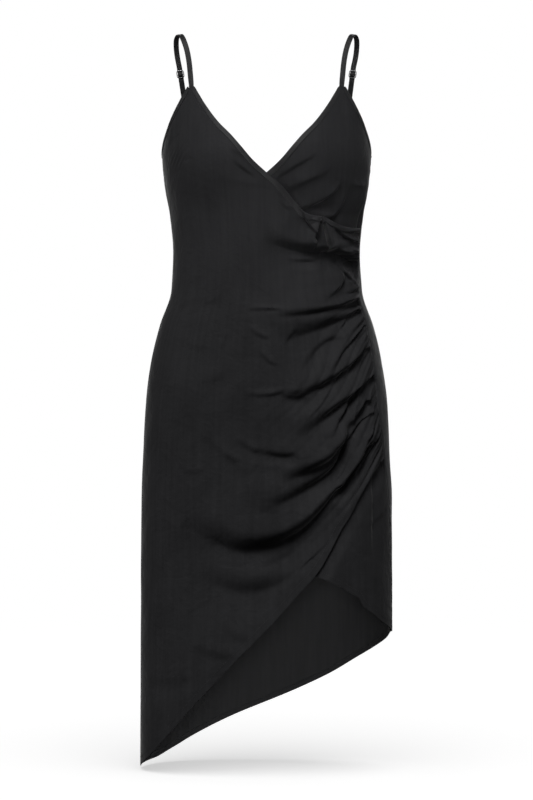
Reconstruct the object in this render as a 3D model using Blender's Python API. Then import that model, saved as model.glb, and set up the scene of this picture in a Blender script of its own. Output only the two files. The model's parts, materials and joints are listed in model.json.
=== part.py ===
"""Satin wrap-front slip dress with a slanting hem, as hollow cloth in the shape it has when worn.

Lengths in the tables are millimetres and angles are degrees. The finished model is in metres.
+X is the right of someone who looks at the front, +Y runs to the back and +Z up. The origin
lies midway between the tops of the two shoulder straps.

The cloth follows a plain figure made of horizontal sections. A place on it is an angle, 0 at
the middle of the front and 90 at the right side, and a height. Each panel is a wall on that
figure between two side seams, a top edge and a bottom edge, with its folds raised from it.
"""

import math

import bmesh
import bpy
import numpy as np

MM = 0.001

WALL = 1.2  # the satin, with its turned edges
GAP = 0.3  # from one piece to the next
LAYER = 3.4  # how far the under front lies inside the over front
LAYER_LAP = 12.0  # how far past the over front's edge the under front stays down
LAYER_EASE = 30.0  # and the length in which it then comes out to the same level
SEAM_HALF_GAP = 0.08  # degrees, which leave GAP between two panels at a side seam
BINDING_WIDTH = 7.5
BINDING_THICKNESS = 0.9
STRAP_WIDTH = 8.0
STRAP_THICKNESS = 1.0
STRAP_SEWN_IN = 14.0  # length of strap behind the point of the cup
WIRE_RADIUS = 0.65  # sliders and rings
SLIDER_HALF = (5.2, 5.5)  # half width and half height of the slider's frame
RING_HALF = (5.2, 3.4)
SQUARENESS = 0.2  # 0 makes each section two half ellipses
CUP_DEPTH = 12.0
CUP_CENTRE = (80.0, -188.0)  # sideways and height
CUP_REACH = (52.0, 50.0)
UNROLL_RADIUS = 170.0  # turns an angle into a length round the body, for the folds
FOLD_AT_SEAM = 0.35  # share of its height that a fold has where it starts
FOLD_RISE = 0.3  # share of its run in which it reaches its full height
CREST_POINTS = 13
SLANT_LIMIT = 2.2  # how far a binding's width is stretched where the edge runs steeply
HEM_STEPS = 12  # rounds in which a column finds where it meets the hem

CUP_POINT = (45.0, 49.0)  # angles between which a cup comes to its point
RIGHT_END = 80.0  # angle of the over front's top edge at the gathered seam
ARMHOLE_END = 88.0  # angle of the right seam at the armhole
OVER_COLUMNS = (9, 25)  # on each side of the cup's point
OVER_ROWS = 42
UNDER_COLUMNS = (20, 8)
UNDER_ROWS = 20
BACK_COLUMNS = 27
BACK_ROWS = 24
BACK_STRAPS = {"l": 19, "r": 6}  # the back's columns that hold the straps
WIRE_POINTS = 24  # along a slider's or a ring's loop
WIRE_SIDES = 6  # round the wire
LOOP_SQUARE = 0.5  # 1 makes the loop an ellipse, and less makes it squarer

SATIN = ("satin", (0.018, 0.018, 0.019), 0.38, 0.0)
UNDER_SATIN = ("under satin", (0.016, 0.016, 0.018), 0.4, 0.0)
BACK_SATIN = ("back satin", (0.017, 0.017, 0.018), 0.4, 0.0)
BINDING = ("satin binding", (0.03, 0.03, 0.031), 0.45, 0.0)
STRAP = ("satin strap", (0.022, 0.022, 0.023), 0.45, 0.0)
METAL = ("grey metal", (0.3, 0.3, 0.31), 0.3, 1.0)


def table(columns, *rows):
    """Rows of numbers as one array for each named column."""
    return dict(zip(columns.split(), np.array(rows, float).T))


FIGURE = table(
    "height half_width front back",
    (-1100, 189.5, 103, 108),
    (-892, 188.7, 105, 112),
    (-697, 187.5, 107, 116),
    (-616, 184.5, 108, 118),
    (-544, 180.5, 108, 115),
    (-490, 173.0, 105, 106),
    (-436, 160.0, 99, 92),
    (-382, 142.5, 92, 77),
    (-328, 140.0, 90, 73),
    (-274, 144.5, 97, 83),
    (-225, 153.0, 107, 93),
    (-184, 156.5, 110, 97),
    (-140, 155.0, 100, 94),
    (-100, 154.0, 84, 86),
    (-60, 152.0, 66, 74),
    (0, 150.0, 40, 40),
)

RIGHT_SEAM = table(
    "height angle",
    (-893, 84),
    (-700, 76),
    (-614, 69),
    (-540, 65),
    (-436, 67),
    (-400, 70),
    (-346, 76),
    (-292, 80),
    (-176, 88),
)

# From the side seam up the armhole to the point of the cup, then down the neckline to the V.
CUP_EDGE = (
    (90, -176),
    (84, -168),
    (75, -152),
    (68, -135),
    (59, -112),
    (52, -92),
    (49, -84),
    (45, -84),
    (41, -95),
    (37, -109),
    (27, -141),
    (20, -159),
    (14, -177),
    (8, -196),
    (0, -216),
)

OVER_TOP = table(
    "angle height",
    *[(-angle, height) for angle, height in CUP_EDGE],
    (6, -229),
    (12, -246),
    (17, -260),
    (23, -273),
    (29, -277),
    (36, -279),
    (43, -286),
    (50, -291),
    (60, -293),
    (80, -292),
)

UNDER_TOP = table(
    "angle height",
    (-90, -300),
    (-50, -290),
    (-20, -260),
    *CUP_EDGE[::-1],
)

OVER_HEM = table(
    "angle height",
    (-90, -1092),
    (-78, -1087),
    (-66, -1073),
    (-52, -1045),
    (-34, -994),
    (-15, -933),
    (6, -863),
    (15, -830),
    (24, -799),
    (30, -770),
    (36, -738),
    (41, -718),
    (48, -686),
    (58, -654),
    (70, -631),
)

UNDER_HEM = table(
    "angle height",
    (-90, -788),
    (-45, -790),
    (0, -797),
    (22, -806),
    (34, -820),
    (41, -831),
    (46, -838),
    (48, -848),
    (56, -862),
    (65, -875),
    (77, -886),
    (84, -893),
)

BACK_TOP = table(
    "angle height",
    (88, -176),
    (110, -184),
    (130, -200),
    (180, -222),
    (230, -200),
    (250, -184),
    (270, -176),
)

BACK_HEM = table(
    "angle height",
    (84, -893),
    (97, -896),
    (105, -906),
    (118, -921),
    (133, -941),
    (149, -967),
    (161, -985),
    (173, -1002),
    (195, -1031),
    (217, -1062),
    (229, -1078),
    (244, -1091),
    (270, -1096),
)

# Each fold is a crest that starts at the gathered seam and dies out at its end. It falls
# softly on the upper side and steeply on the lower side, within the two widths given.
FOLD_COLUMNS = "angle_0 height_0 angle_1 height_1 angle_2 height_2 above below lift"

OVER_FOLDS = table(
    FOLD_COLUMNS,
    (80, -341, 55, -313, 37, -284, 10, 9, 4),
    (80, -326, 36, -311, 11, -309, 24, 18, 5),
    (78, -380, 40, -392, 13, -405, 20, 12, 5),
    (73, -396, 42, -411, 9, -430, 9, 12, 4),
    (65, -420, 46, -447, 34, -477, 14, 10, 4),
    (62, -462, 35, -498, 16, -530, 16, 12, 6),
    (62, -492, 40, -524, 24, -559, 14, 11, 5),
    (62, -522, 42, -559, 34, -591, 14, 12, 6),
    (60, -548, 28, -621, 11, -644, 22, 14, 8),
    (66, -578, 35, -653, 11, -705, 16, 24, 11),
    (22, -694, -6, -734, -34, -700, 36, 30, 12),
    (12, -790, -10, -805, -30, -790, 26, 18, 4),
    (-11, -594, -1, -606, 12, -600, 26, 16, 4),
)

UNDER_FOLDS = table(
    FOLD_COLUMNS,
    (62, -651, 55, -739, 57, -843, 14, 14, 3),
    (20, -198, 13, -212, 6, -225, 12, 8, 2),
)

BACK_FOLDS = table(
    FOLD_COLUMNS,
    (104, -330, 135, -322, 168, -300, 20, 12, 4),
    (104, -396, 132, -398, 160, -380, 22, 14, 5),
    (106, -462, 124, -470, 146, -455, 20, 14, 5),
    (106, -560, 120, -575, 142, -580, 22, 16, 5),
    (108, -650, 122, -685, 146, -705, 26, 18, 5),
    (256, -350, 230, -348, 200, -330, 22, 14, 4),
    (256, -420, 234, -436, 208, -430, 24, 16, 4),
)

# The strap's middle line on the right side: sewn in at the cup, over the shoulder, to the slider.
STRAP_ROUTE = table(
    "x y z",
    (112.7, -53, -66),
    (114.8, -50, -46),
    (118.5, -45, -27),
    (124.3, -35, -10),
    (129, -18, -2),
    (133, 2, -1),
    (136, 20, -6),
    (136.2, 33, -18),
    (134.6, 39.6, -30.5),
)
SLIDER_PLACE = (130.6, 44.8, -53.4)
RING_ABOVE_BACK = 24.0

# The strap's weave through the slider and its turn round a bar: along the strap from the
# middle of the slider or the bar, and off the strap's middle line to the front.
WEAVE = (
    (-11.0, -1.0),
    (-7.6, -1.5),
    (-5.6, -1.6),
    (-3.9, -0.7),
    (-2.6, 1.4),
    (-1.2, 2.6),
    (0.0, 2.9),
    (1.2, 2.6),
    (2.6, 1.4),
    (3.9, -0.7),
    (5.6, -1.6),
    (8.0, -1.4),
)
WEAVE_END = (
    (8.0, -2.75),
    (5.6, -2.95),
    (2.0, -1.95),
    (0.2, -1.55),
    (-1.2, -0.9),
    (-1.5, 0.0),
    (-1.1, 1.0),
    (0.0, 1.5),
)
ROUND_BAR = (
    (-6.5, 0.75),
    (-1.8, 1.3),
    (0.0, 1.5),
    (1.1, 1.05),
    (1.5, 0.0),
    (1.1, -1.05),
    (0.0, -1.5),
    (-1.8, -1.3),
    (-6.5, -0.75),
)
LAYER_OFF = 1.35  # from the strap's first layer to its second one


def curve(x_values, y_values, at):
    """A smooth curve through the points that never overshoots them."""
    at = np.asarray(at, float)
    step = np.diff(x_values)
    slope = np.diff(y_values) / step
    product = slope[:-1] * slope[1:]
    total = slope[:-1] + slope[1:]
    inner = np.where(product > 0, 2 * product / np.where(product > 0, total, 1), 0)
    tangent = np.concatenate([slope[:1], inner, slope[-1:]])
    place = np.clip(np.searchsorted(x_values, at, side="right") - 1, 0, len(step) - 1)
    width = step[place]
    t = (at - x_values[place]) / width
    return (
        (1 + 2 * t) * (1 - t) ** 2 * y_values[place]
        + t * (1 - t) ** 2 * width * tangent[place]
        + t * t * (3 - 2 * t) * y_values[place + 1]
        + t * t * (t - 1) * width * tangent[place + 1]
    )


def edge_height(edge, angle):
    return curve(edge["angle"], edge["height"], angle)


def right_seam(height):
    seam = RIGHT_SEAM
    return curve(seam["height"], seam["angle"], np.clip(height, seam["height"][0], seam["height"][-1]))


def left_seam(height):
    return np.full_like(np.asarray(height, float), -90.0)


def figure(angle, height):
    """The point of the bare figure at an angle and a height."""
    sine = np.sin(np.radians(angle))
    cosine = np.cos(np.radians(angle))
    half_width, front, back = (
        curve(FIGURE["height"], FIGURE[name], height) for name in ("half_width", "front", "back")
    )
    x = half_width * sine
    depth = np.where(cosine > 0, front, back)
    y = -depth * cosine * (1 + SQUARENESS * sine**2)
    sideways = (np.abs(x) - CUP_CENTRE[0]) / CUP_REACH[0]
    upwards = (height - CUP_CENTRE[1]) / CUP_REACH[1]
    cup = CUP_DEPTH * np.exp(-(sideways**2) - upwards**2) * np.sqrt(np.clip(cosine, 0, 1))
    return np.stack([x, y - cup, height + 0 * x], axis=-1)


def outward(angle, height):
    """The figure's normal there, from two short steps round it and up it."""
    round_it = figure(angle + 0.5, height) - figure(angle - 0.5, height)
    up_it = figure(angle, height + 2.0) - figure(angle, height - 2.0)
    normal = np.cross(round_it, up_it)
    return normal / np.linalg.norm(normal, axis=-1, keepdims=True)


def fold_lift(folds, angle, height):
    """How far the folds raise the cloth: each is a crest line with a soft and a steep side."""
    across = np.radians(angle) * UNROLL_RADIUS
    lift = np.zeros_like(across)
    share = np.linspace(0, 1, CREST_POINTS)
    for fold in zip(*folds.values()):
        angles, heights, (above, below, top) = fold[0:6:2], fold[1:6:2], fold[6:]
        middle = [2 * values[1] - (values[0] + values[2]) / 2 for values in (angles, heights)]
        weights = ((1 - share) ** 2, 2 * share * (1 - share), share**2)
        line_x = weights[0] * angles[0] + weights[1] * middle[0] + weights[2] * angles[2]
        line_x = np.radians(line_x) * UNROLL_RADIUS
        line_z = weights[0] * heights[0] + weights[1] * middle[1] + weights[2] * heights[2]
        step_x, step_z = np.diff(line_x), np.diff(line_z)
        off_x = across[..., None] - line_x[:-1]
        off_z = height[..., None] - line_z[:-1]
        along = np.clip((off_x * step_x + off_z * step_z) / (step_x**2 + step_z**2), 0, 1)
        far = np.hypot(off_x - along * step_x, off_z - along * step_z)
        nearest = far.argmin(axis=-1)[..., None]
        distance = np.take_along_axis(far, nearest, -1)[..., 0]
        run = (nearest[..., 0] + np.take_along_axis(along, nearest, -1)[..., 0]) / len(step_x)
        side = np.take_along_axis(step_x * off_z - step_z * off_x, nearest, -1)[..., 0]
        side = side * (1 if angles[2] > angles[0] else -1)
        soft = np.exp(-((distance / above) ** 2))
        steep = np.clip(1 - (distance / below) ** 2, 0, 1)
        rise = np.sin(np.clip(run / FOLD_RISE, 0, 1) * math.pi / 2)
        fade = (FOLD_AT_SEAM + (1 - FOLD_AT_SEAM) * rise) * (1 - run**3)
        lift += top * fade * np.where(side > 0, soft, steep)
    return lift


def under_front_inset(angle, height):
    """LAYER where the over front covers the under front, and nothing well clear of it."""
    above = height - edge_height(OVER_TOP, np.clip(angle, -90, 80))
    below = edge_height(OVER_HEM, np.clip(angle, -90, 70)) - height
    clear = np.clip((np.maximum(above, below) - LAYER_LAP) / LAYER_EASE, 0, 1)
    return LAYER * (1 - clear * clear * (3 - 2 * clear))


class Panel:
    """A grid on the figure: columns from seam to seam, rows from the top edge to the hem.

    A column keeps its share of the way round between the two seams, so the rows of the over
    front draw together towards its gathered seam. Row 1 lies a binding's width below row 0.
    """

    def __init__(self, seams, top, hem, top_angles, rows, folds, inset=None):
        start, end = seams
        top_height = edge_height(top, top_angles)
        from_start = top_angles - start(top_height)
        share = from_start / (end(top_height) - start(top_height))
        hem_height = edge_height(hem, top_angles.clip(hem["angle"][0], hem["angle"][-1]))
        for _ in range(HEM_STEPS):
            at = start(hem_height) + share * (end(hem_height) - start(hem_height))
            hem_height = edge_height(hem, np.clip(at, hem["angle"][0], hem["angle"][-1]))
        run = np.radians(top_angles) * UNROLL_RADIUS
        slant = np.hypot(1, np.gradient(top_height, run))
        slant = np.maximum(slant, np.maximum(np.roll(slant, 1), np.roll(slant, -1))).clip(1, SLANT_LIMIT)
        down = np.linspace(0, 1, rows)[:, None]
        second = top_height - BINDING_WIDTH * slant
        below = second + (hem_height - second) * down
        self.height = np.concatenate([top_height[None, :], below])
        first, last = start(self.height), end(self.height)
        self.angle = first + share * (last - first)
        self.normal = outward(self.angle, self.height)
        lift = fold_lift(folds, self.angle, self.height)
        if inset is not None:
            lift -= inset(self.angle, self.height)
        self.points = figure(self.angle, self.height) + lift[..., None] * self.normal

    def moved(self, distance, rows=slice(None), columns=slice(None)):
        return self.points[rows, columns] + distance * self.normal[rows, columns]


def material(finish):
    name, colour, roughness, metallic = finish
    made = bpy.data.materials.get(name)
    if made is None:
        made = bpy.data.materials.new(name)
        made.use_nodes = True
        shader = made.node_tree.nodes["Principled BSDF"]
        shader.inputs["Base Color"].default_value = (*colour, 1.0)
        shader.inputs["Roughness"].default_value = roughness
        shader.inputs["Metallic"].default_value = metallic
    return made


def mesh_object(name, points, faces, finish):
    """A closed mesh from points in millimetres, its faces turned outwards."""
    mesh = bpy.data.meshes.new(name)
    mesh.from_pydata((np.asarray(points) * MM).tolist(), [], faces)
    work = bmesh.new()
    work.from_mesh(mesh)
    bmesh.ops.recalc_face_normals(work, faces=work.faces)
    work.to_mesh(mesh)
    work.free()
    mesh.materials.append(material(finish))
    made = bpy.data.objects.new(name, mesh)
    bpy.context.scene.collection.objects.link(made)
    return made


def wall(name, outer, inner, finish):
    """A closed wall between two grids of points with the same rows and columns.

    Every square is halved along the same diagonal, so that walls on the same points nest.
    """
    rows, columns = outer.shape[:2]
    index = np.arange(rows * columns).reshape(rows, columns)
    under = index + rows * columns
    upper = np.stack([index[:-1, :-1], index[:-1, 1:], index[1:, 1:]], -1).reshape(-1, 3)
    lower = np.stack([index[:-1, :-1], index[1:, 1:], index[1:, :-1]], -1).reshape(-1, 3)
    halves = np.concatenate([upper, lower])
    faces = [*halves.tolist(), *(halves[:, ::-1] + rows * columns).tolist()]
    for line, deep in (
        (index[0], under[0]),
        (index[-1], under[-1]),
        (index[:, 0], under[:, 0]),
        (index[:, -1], under[:, -1]),
    ):
        faces += np.stack([line[:-1], deep[:-1], deep[1:], line[1:]], -1).tolist()
    points = np.concatenate([outer.reshape(-1, 3), inner.reshape(-1, 3)])
    return mesh_object(name, points, faces, finish)


def binding(name, panel, columns):
    """The strip that lies on a panel's first two rows, made from its points moved out."""
    low = panel.moved(GAP, slice(0, 2), columns)
    high = panel.moved(GAP + BINDING_THICKNESS, slice(0, 2), columns)
    for grid in (low, high):
        for end, step in ((0, 1), (-1, -1)):
            run = grid[:, end + step] - grid[:, end]
            grid[:, end] += GAP * run / np.linalg.norm(run, axis=-1, keepdims=True)
    return wall(name, high, low, BINDING)


def smooth_route(points, each):
    """A smooth curve through the points, with a number of places on each stretch."""
    points = np.asarray(points, float)
    ends = [2 * points[0] - points[1], *points, 2 * points[-1] - points[-2]]
    a, b, c, d = (np.array(ends[i : len(ends) - 3 + i])[:, None] for i in range(4))
    t = np.linspace(0, 1, each, endpoint=False)[None, :, None]
    cubic = 2 * b + (c - a) * t + (2 * a - 5 * b + 4 * c - d) * t**2 + (3 * b - a - 3 * c + d) * t**3
    return np.concatenate([(cubic / 2).reshape(-1, 3), points[-1:]])


def band(name, route, hints, mirror):
    """A flat strap along a route. Its width lies along the hints, square to the route."""
    route = smooth_route(route, 2)
    hints = smooth_route(hints, 2)
    ahead = np.gradient(route, axis=0)
    ahead /= np.linalg.norm(ahead, axis=-1, keepdims=True)
    sideways = hints - ahead * (ahead * hints).sum(axis=-1, keepdims=True)
    sideways /= np.linalg.norm(sideways, axis=-1, keepdims=True)
    through = np.cross(sideways, ahead)
    edges = np.array([-0.5, 0.5])[:, None, None] * STRAP_WIDTH * sideways[None]
    outer = route[None] + edges + through * STRAP_THICKNESS / 2
    inner = route[None] + edges - through * STRAP_THICKNESS / 2
    return wall(name, outer * mirror, inner * mirror, STRAP)


def wire_frame(name, half, place, axes, mirror, middle_bar):
    """A flat metal loop of round wire, square with round corners, with or without a middle bar."""
    turn = np.linspace(0, 2 * math.pi, WIRE_POINTS, endpoint=False)
    sine, cosine = np.sin(turn), np.cos(turn)
    loop_x = half[0] * np.sign(cosine) * np.abs(cosine) ** LOOP_SQUARE
    loop_s = half[1] * np.sign(sine) * np.abs(sine) ** LOOP_SQUARE
    loop = np.stack([loop_x, loop_s, 0 * turn], -1)
    ahead = np.roll(loop, -1, 0) - np.roll(loop, 1, 0)
    ahead /= np.linalg.norm(ahead, axis=-1, keepdims=True)
    front = np.array([0.0, 0.0, 1.0])
    aside = np.cross(ahead, front)
    around = np.radians(np.arange(0, 360, 360 / WIRE_SIDES))
    ring = np.cos(around)[None, :, None] * aside[:, None] + np.sin(around)[None, :, None] * front
    ring = loop[:, None] + WIRE_RADIUS * ring
    index = np.arange(ring.shape[0] * ring.shape[1]).reshape(ring.shape[:2])
    after = np.roll(index, -1, 0)
    faces = np.stack([index, after, np.roll(after, -1, 1), np.roll(index, -1, 1)], -1)
    points = (ring.reshape(-1, 3) @ axes + place) * mirror
    frame = mesh_object(name, points, faces.reshape(-1, 4).tolist(), METAL)
    if middle_bar:
        ends = np.array([-half[0], half[0]])[:, None]
        thin = 0.9 * WIRE_RADIUS
        bar = np.broadcast_arrays(ends, thin * np.cos(around), thin * np.sin(around))
        points = (np.stack(bar, -1).reshape(-1, 3) @ axes + place) * mirror
        count = len(around)
        sides = [[i, (i + 1) % count, count + (i + 1) % count, count + i] for i in range(count)]
        caps = [list(range(count)), list(range(count, 2 * count))]
        cutter = mesh_object(name + "_bar", points, sides + caps, METAL)
        cutter.hide_render = True
        cutter.display_type = "WIRE"
        join = frame.modifiers.new("middle bar", "BOOLEAN")
        join.operation = "UNION"
        join.solver = "EXACT"
        join.object = cutter
    return frame


def sewn_end(panel, column, mirror):
    """Where a strap leaves a panel's top edge and where its end is sewn in, behind the cloth."""
    inside = -(WALL + 1.5 * GAP + STRAP_THICKNESS / 2)
    points = panel.moved(inside, slice(0, 2), slice(column, column + 2)) * mirror
    edge, lower = points.mean(axis=1)
    hint = points[0, 1] - points[0, 0]
    hint *= np.sign(hint[0]) / np.linalg.norm(hint)
    sewn = edge + (lower - edge) * STRAP_SEWN_IN / np.linalg.norm(lower - edge)
    return edge, sewn, hint


def shoulder_strap(letter, side, cup, back):
    """A strap with its slider, its ring and the tab that holds the ring, made as a right one."""
    mirror = np.array([side, 1.0, 1.0])
    cup_edge, cup_sewn, cup_hint = sewn_end(*cup, mirror)
    back_edge, back_sewn, back_hint = sewn_end(*back, mirror)
    slider = np.array(SLIDER_PLACE)
    run = np.linalg.norm(back_edge - slider)
    down = (back_edge - slider) / run
    sideways = np.array([1.0, 0.0, 0.0]) - down * down[0]
    sideways /= np.linalg.norm(sideways)
    axes = np.stack([sideways, down, np.cross(down, sideways)])
    ring = back_edge - down * RING_ABOVE_BACK

    def placed(pairs, origin):
        return [origin + along * axes[1] + off * axes[2] for along, off in pairs]

    over = np.stack([STRAP_ROUTE[name] for name in "xyz"], -1)
    half_way = (run - RING_ABOVE_BACK) / 2
    first = placed((*WEAVE, (14.0, LAYER_OFF / 2), (half_way, LAYER_OFF / 2)), slider)
    round_ring = placed(ROUND_BAR, ring - down * RING_HALF[1])
    second = placed(((half_way, -LAYER_OFF / 2), (14.0, -LAYER_OFF / 2), *WEAVE_END), slider)
    route = [cup_sewn, cup_edge, *over, *first, *round_ring, *second]
    hints = [cup_hint, cup_hint] + [sideways] * (len(route) - 2)
    band("strap_" + letter, route, hints, mirror)
    wire_frame("slider_" + letter, SLIDER_HALF, slider, axes, mirror, True)
    wire_frame("ring_" + letter, RING_HALF, ring, axes, mirror, False)

    hook = placed([(-along, off) for along, off in ROUND_BAR], ring + down * RING_HALF[1])
    route = [*hook, back_edge, back_sewn]
    hints = [sideways] * len(hook) + [back_hint, back_hint]
    band("back_tab_" + letter, route, hints, mirror)


def main():
    for old in list(bpy.data.objects):
        bpy.data.objects.remove(old, do_unlink=True)

    half_gap = SEAM_HALF_GAP
    inner, outer = CUP_POINT
    over_angles = np.concatenate(
        [np.linspace(-90, -outer, OVER_COLUMNS[0]), np.linspace(-inner, RIGHT_END, OVER_COLUMNS[1])]
    )
    over_angles[0] += half_gap
    over_angles[-1] -= half_gap
    seams = (left_seam, right_seam)
    over = Panel(seams, OVER_TOP, OVER_HEM, over_angles, OVER_ROWS, OVER_FOLDS)

    under_angles = np.concatenate(
        [np.linspace(-90, inner, UNDER_COLUMNS[0]), np.linspace(outer, ARMHOLE_END, UNDER_COLUMNS[1])]
    )
    under_angles[0] += half_gap
    under_angles[-1] -= half_gap
    folds = UNDER_FOLDS
    under = Panel(seams, UNDER_TOP, UNDER_HEM, under_angles, UNDER_ROWS, folds, under_front_inset)

    back_angles = np.linspace(ARMHOLE_END + half_gap, 270 - half_gap, BACK_COLUMNS)
    seams = (right_seam, lambda height: left_seam(height) + 360)
    back = Panel(seams, BACK_TOP, BACK_HEM, back_angles, BACK_ROWS, BACK_FOLDS)

    wall("front_over", over.points, over.moved(-WALL), SATIN)
    wall("front_under", under.points, under.moved(-WALL), UNDER_SATIN)
    wall("back", back.points, back.moved(-WALL), BACK_SATIN)

    over_point = OVER_COLUMNS[0]
    under_point = UNDER_COLUMNS[0] - 1
    binding("binding_neck_over", over, slice(over_point, None))
    binding("binding_armhole_l", over, slice(0, over_point + 1))
    binding("binding_neck_under", under, slice(0, under_point + 1))
    binding("binding_armhole_r", under, slice(under_point, None))
    binding("binding_back", back, slice(None))

    shoulder_strap("l", -1, (over, over_point - 1), (back, BACK_STRAPS["l"]))
    shoulder_strap("r", 1, (under, under_point), (back, BACK_STRAPS["r"]))


main()
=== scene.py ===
"""Satin wrap-front slip dress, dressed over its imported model.

Lengths in the tables are millimetres and angles are degrees; meshes are in metres. A place on
the cloth is an angle round the dress, 0 at the middle of the front and 90 at the right side, and
a height below the tops of the straps.
"""

import json
import math

import bpy
import numpy as np
from bpy.props import FloatProperty, FloatVectorProperty, PointerProperty
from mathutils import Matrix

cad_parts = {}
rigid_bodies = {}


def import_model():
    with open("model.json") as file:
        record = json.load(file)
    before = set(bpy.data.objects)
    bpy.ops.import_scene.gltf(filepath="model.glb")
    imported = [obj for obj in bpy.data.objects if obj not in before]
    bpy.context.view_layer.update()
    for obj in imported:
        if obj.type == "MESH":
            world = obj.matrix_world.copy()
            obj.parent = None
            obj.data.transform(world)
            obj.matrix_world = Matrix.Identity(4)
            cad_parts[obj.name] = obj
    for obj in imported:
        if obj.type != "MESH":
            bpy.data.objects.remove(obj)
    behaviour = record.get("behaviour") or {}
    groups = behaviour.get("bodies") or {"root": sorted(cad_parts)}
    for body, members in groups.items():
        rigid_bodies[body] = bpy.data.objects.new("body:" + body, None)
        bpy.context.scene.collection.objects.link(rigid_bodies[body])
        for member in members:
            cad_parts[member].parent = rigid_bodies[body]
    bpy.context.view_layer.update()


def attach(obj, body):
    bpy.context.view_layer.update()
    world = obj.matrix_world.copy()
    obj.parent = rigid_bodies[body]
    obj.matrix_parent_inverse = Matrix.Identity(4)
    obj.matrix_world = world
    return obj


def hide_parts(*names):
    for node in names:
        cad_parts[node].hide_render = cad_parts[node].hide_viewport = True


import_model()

bl_info = {
    "name": "Satin slip dress",
    "version": (1, 0, 0),
    "blender": (4, 5, 0),
    "location": "View3D > Sidebar > Dress",
    "description": "Builds the cloth, straps, hardware and studio of a wrap-front satin slip dress",
    "category": "Add Mesh",
}

MM = 0.001

# The same figure and cut as the solids, in millimetres and degrees. The under front lies a layer
# inside, from a lap past the over front's edges, where it eases out.
SQUARENESS = 0.2
CUP_DEPTH = 12.0
CUP_CENTRE = (80.0, -188.0)
CUP_REACH = (52.0, 50.0)
UNROLL_RADIUS = 170.0
WALL = 1.2
GAP = 0.3
LAYER = 3.4
LAYER_LAP = 12.0
LAYER_EASE = 30.0
BACK_FIRST = 88.0
BACK_LAST = 270.0
BACK_COLUMN = (BACK_LAST - BACK_FIRST) / 26

# The edges and the sewing.
BINDING_WIDTH = 7.5
ROLLED_WIDTH = 4.2
ROLLED_BULGE = 1.9
SEAM_ALLOWANCE = 6.5
SEAM_THICKNESS = 0.6
HEM_THICKNESS = 0.8
HEM_CLEAR = 0.05
STITCH_GAP = 0.9
STITCH_PROUD = 0.12
THREAD_RADIUS = 0.22
GATHER_REACH = 84.0
SEAM_PUCKER_REACH = 14.0
SEAM_GROOVE = 0.5
SEAM_GROOVE_WIDTH = 1.6
UNEVEN_FROM_EDGE = 25.0
BINDING_PINCH = 0.06
BINDING_PINCH_STEP = 0.53

# The straps and their metal.
STRAP_WIDTH = 8.0
STRAP_THICKNESS = 1.0
STRAP_SEWN_IN = 14.0
WIRE_RADIUS = 0.65
SLIDER_HALF = (5.2, 5.5)
RING_HALF = (5.2, 3.4)

# The studio, in metres. The floor is just under the lowest point of the hem.
FLOOR_LEVEL = -1.1
FLOOR_GLOW = 0.57
LIGHT_AIM = (0.0, 0.0, -0.55)
CAMERA_PLACE = (0.0, -4.0, -0.5475)
CAMERA_LENS = 120.0
WHITE = (1.0, 1.0, 1.0, 1.0)

# The places that a fold's valley is worked out at, and how far it runs on past its last place.
VALLEY_PLACES = 24
RUN_ON = 1.06

# The satin: its streaks' lightest and darkest, and how far its roughness strays.
STREAK_LIGHT = 1.5
STREAK_DARK = 0.52
GLOSS_STRAY = 0.035
SHEEN_ROUGHNESS = 0.35


def table(columns, *rows):
    """Rows of numbers as one array for each named column."""
    return dict(zip(columns.split(), np.array(rows, float).T))


FIGURE = table(
    "height half_width front back",
    (-1100, 189.5, 103, 108), (-892, 188.7, 105, 112), (-697, 187.5, 107, 116),
    (-616, 184.5, 108, 118), (-544, 180.5, 108, 115), (-490, 173.0, 105, 106),
    (-436, 160.0, 99, 92), (-382, 142.5, 92, 77), (-328, 140.0, 90, 73), (-274, 144.5, 97, 83),
    (-225, 153.0, 107, 93), (-184, 156.5, 110, 97), (-140, 155.0, 100, 94),
    (-100, 154.0, 84, 86), (-60, 152.0, 66, 74), (0, 150.0, 40, 40),
)

RIGHT_SEAM = table(
    "height angle",
    (-893, 84), (-700, 76), (-614, 69), (-540, 65), (-436, 67), (-400, 70), (-346, 76),
    (-292, 80), (-176, 88),
)

CUP_EDGE = (
    (90, -176), (84, -168), (75, -152), (68, -135), (59, -112), (52, -92), (49, -84), (45, -84),
    (41, -95), (37, -109), (27, -141), (20, -159), (14, -177), (8, -196), (0, -216),
)

OVER_TOP = table(
    "angle height",
    *[(-angle, height) for angle, height in CUP_EDGE],
    (6, -229), (12, -246), (17, -260), (23, -273), (29, -277), (36, -279), (43, -286),
    (50, -291), (60, -293), (80, -292),
)

UNDER_TOP = table("angle height", (-90, -300), (-50, -290), (-20, -260), *CUP_EDGE[::-1])

OVER_HEM = table(
    "angle height",
    (-90, -1092), (-78, -1087), (-66, -1073), (-52, -1045), (-34, -994), (-15, -933), (6, -863),
    (15, -830), (24, -799), (30, -770), (36, -738), (41, -718), (48, -686), (58, -654),
    (70, -631),
)

UNDER_HEM = table(
    "angle height",
    (-90, -788), (-45, -790), (0, -797), (22, -806), (34, -820), (41, -831), (46, -838),
    (48, -848), (56, -862), (65, -875), (77, -886), (84, -893),
)

BACK_TOP = table(
    "angle height",
    (88, -176), (110, -184), (130, -200), (180, -222), (230, -200), (250, -184), (270, -176),
)

BACK_HEM = table(
    "angle height",
    (84, -893), (97, -896), (105, -906), (118, -921), (133, -941), (149, -967), (161, -985),
    (173, -1002), (195, -1031), (217, -1062), (229, -1078), (244, -1091), (270, -1096),
)

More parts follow.
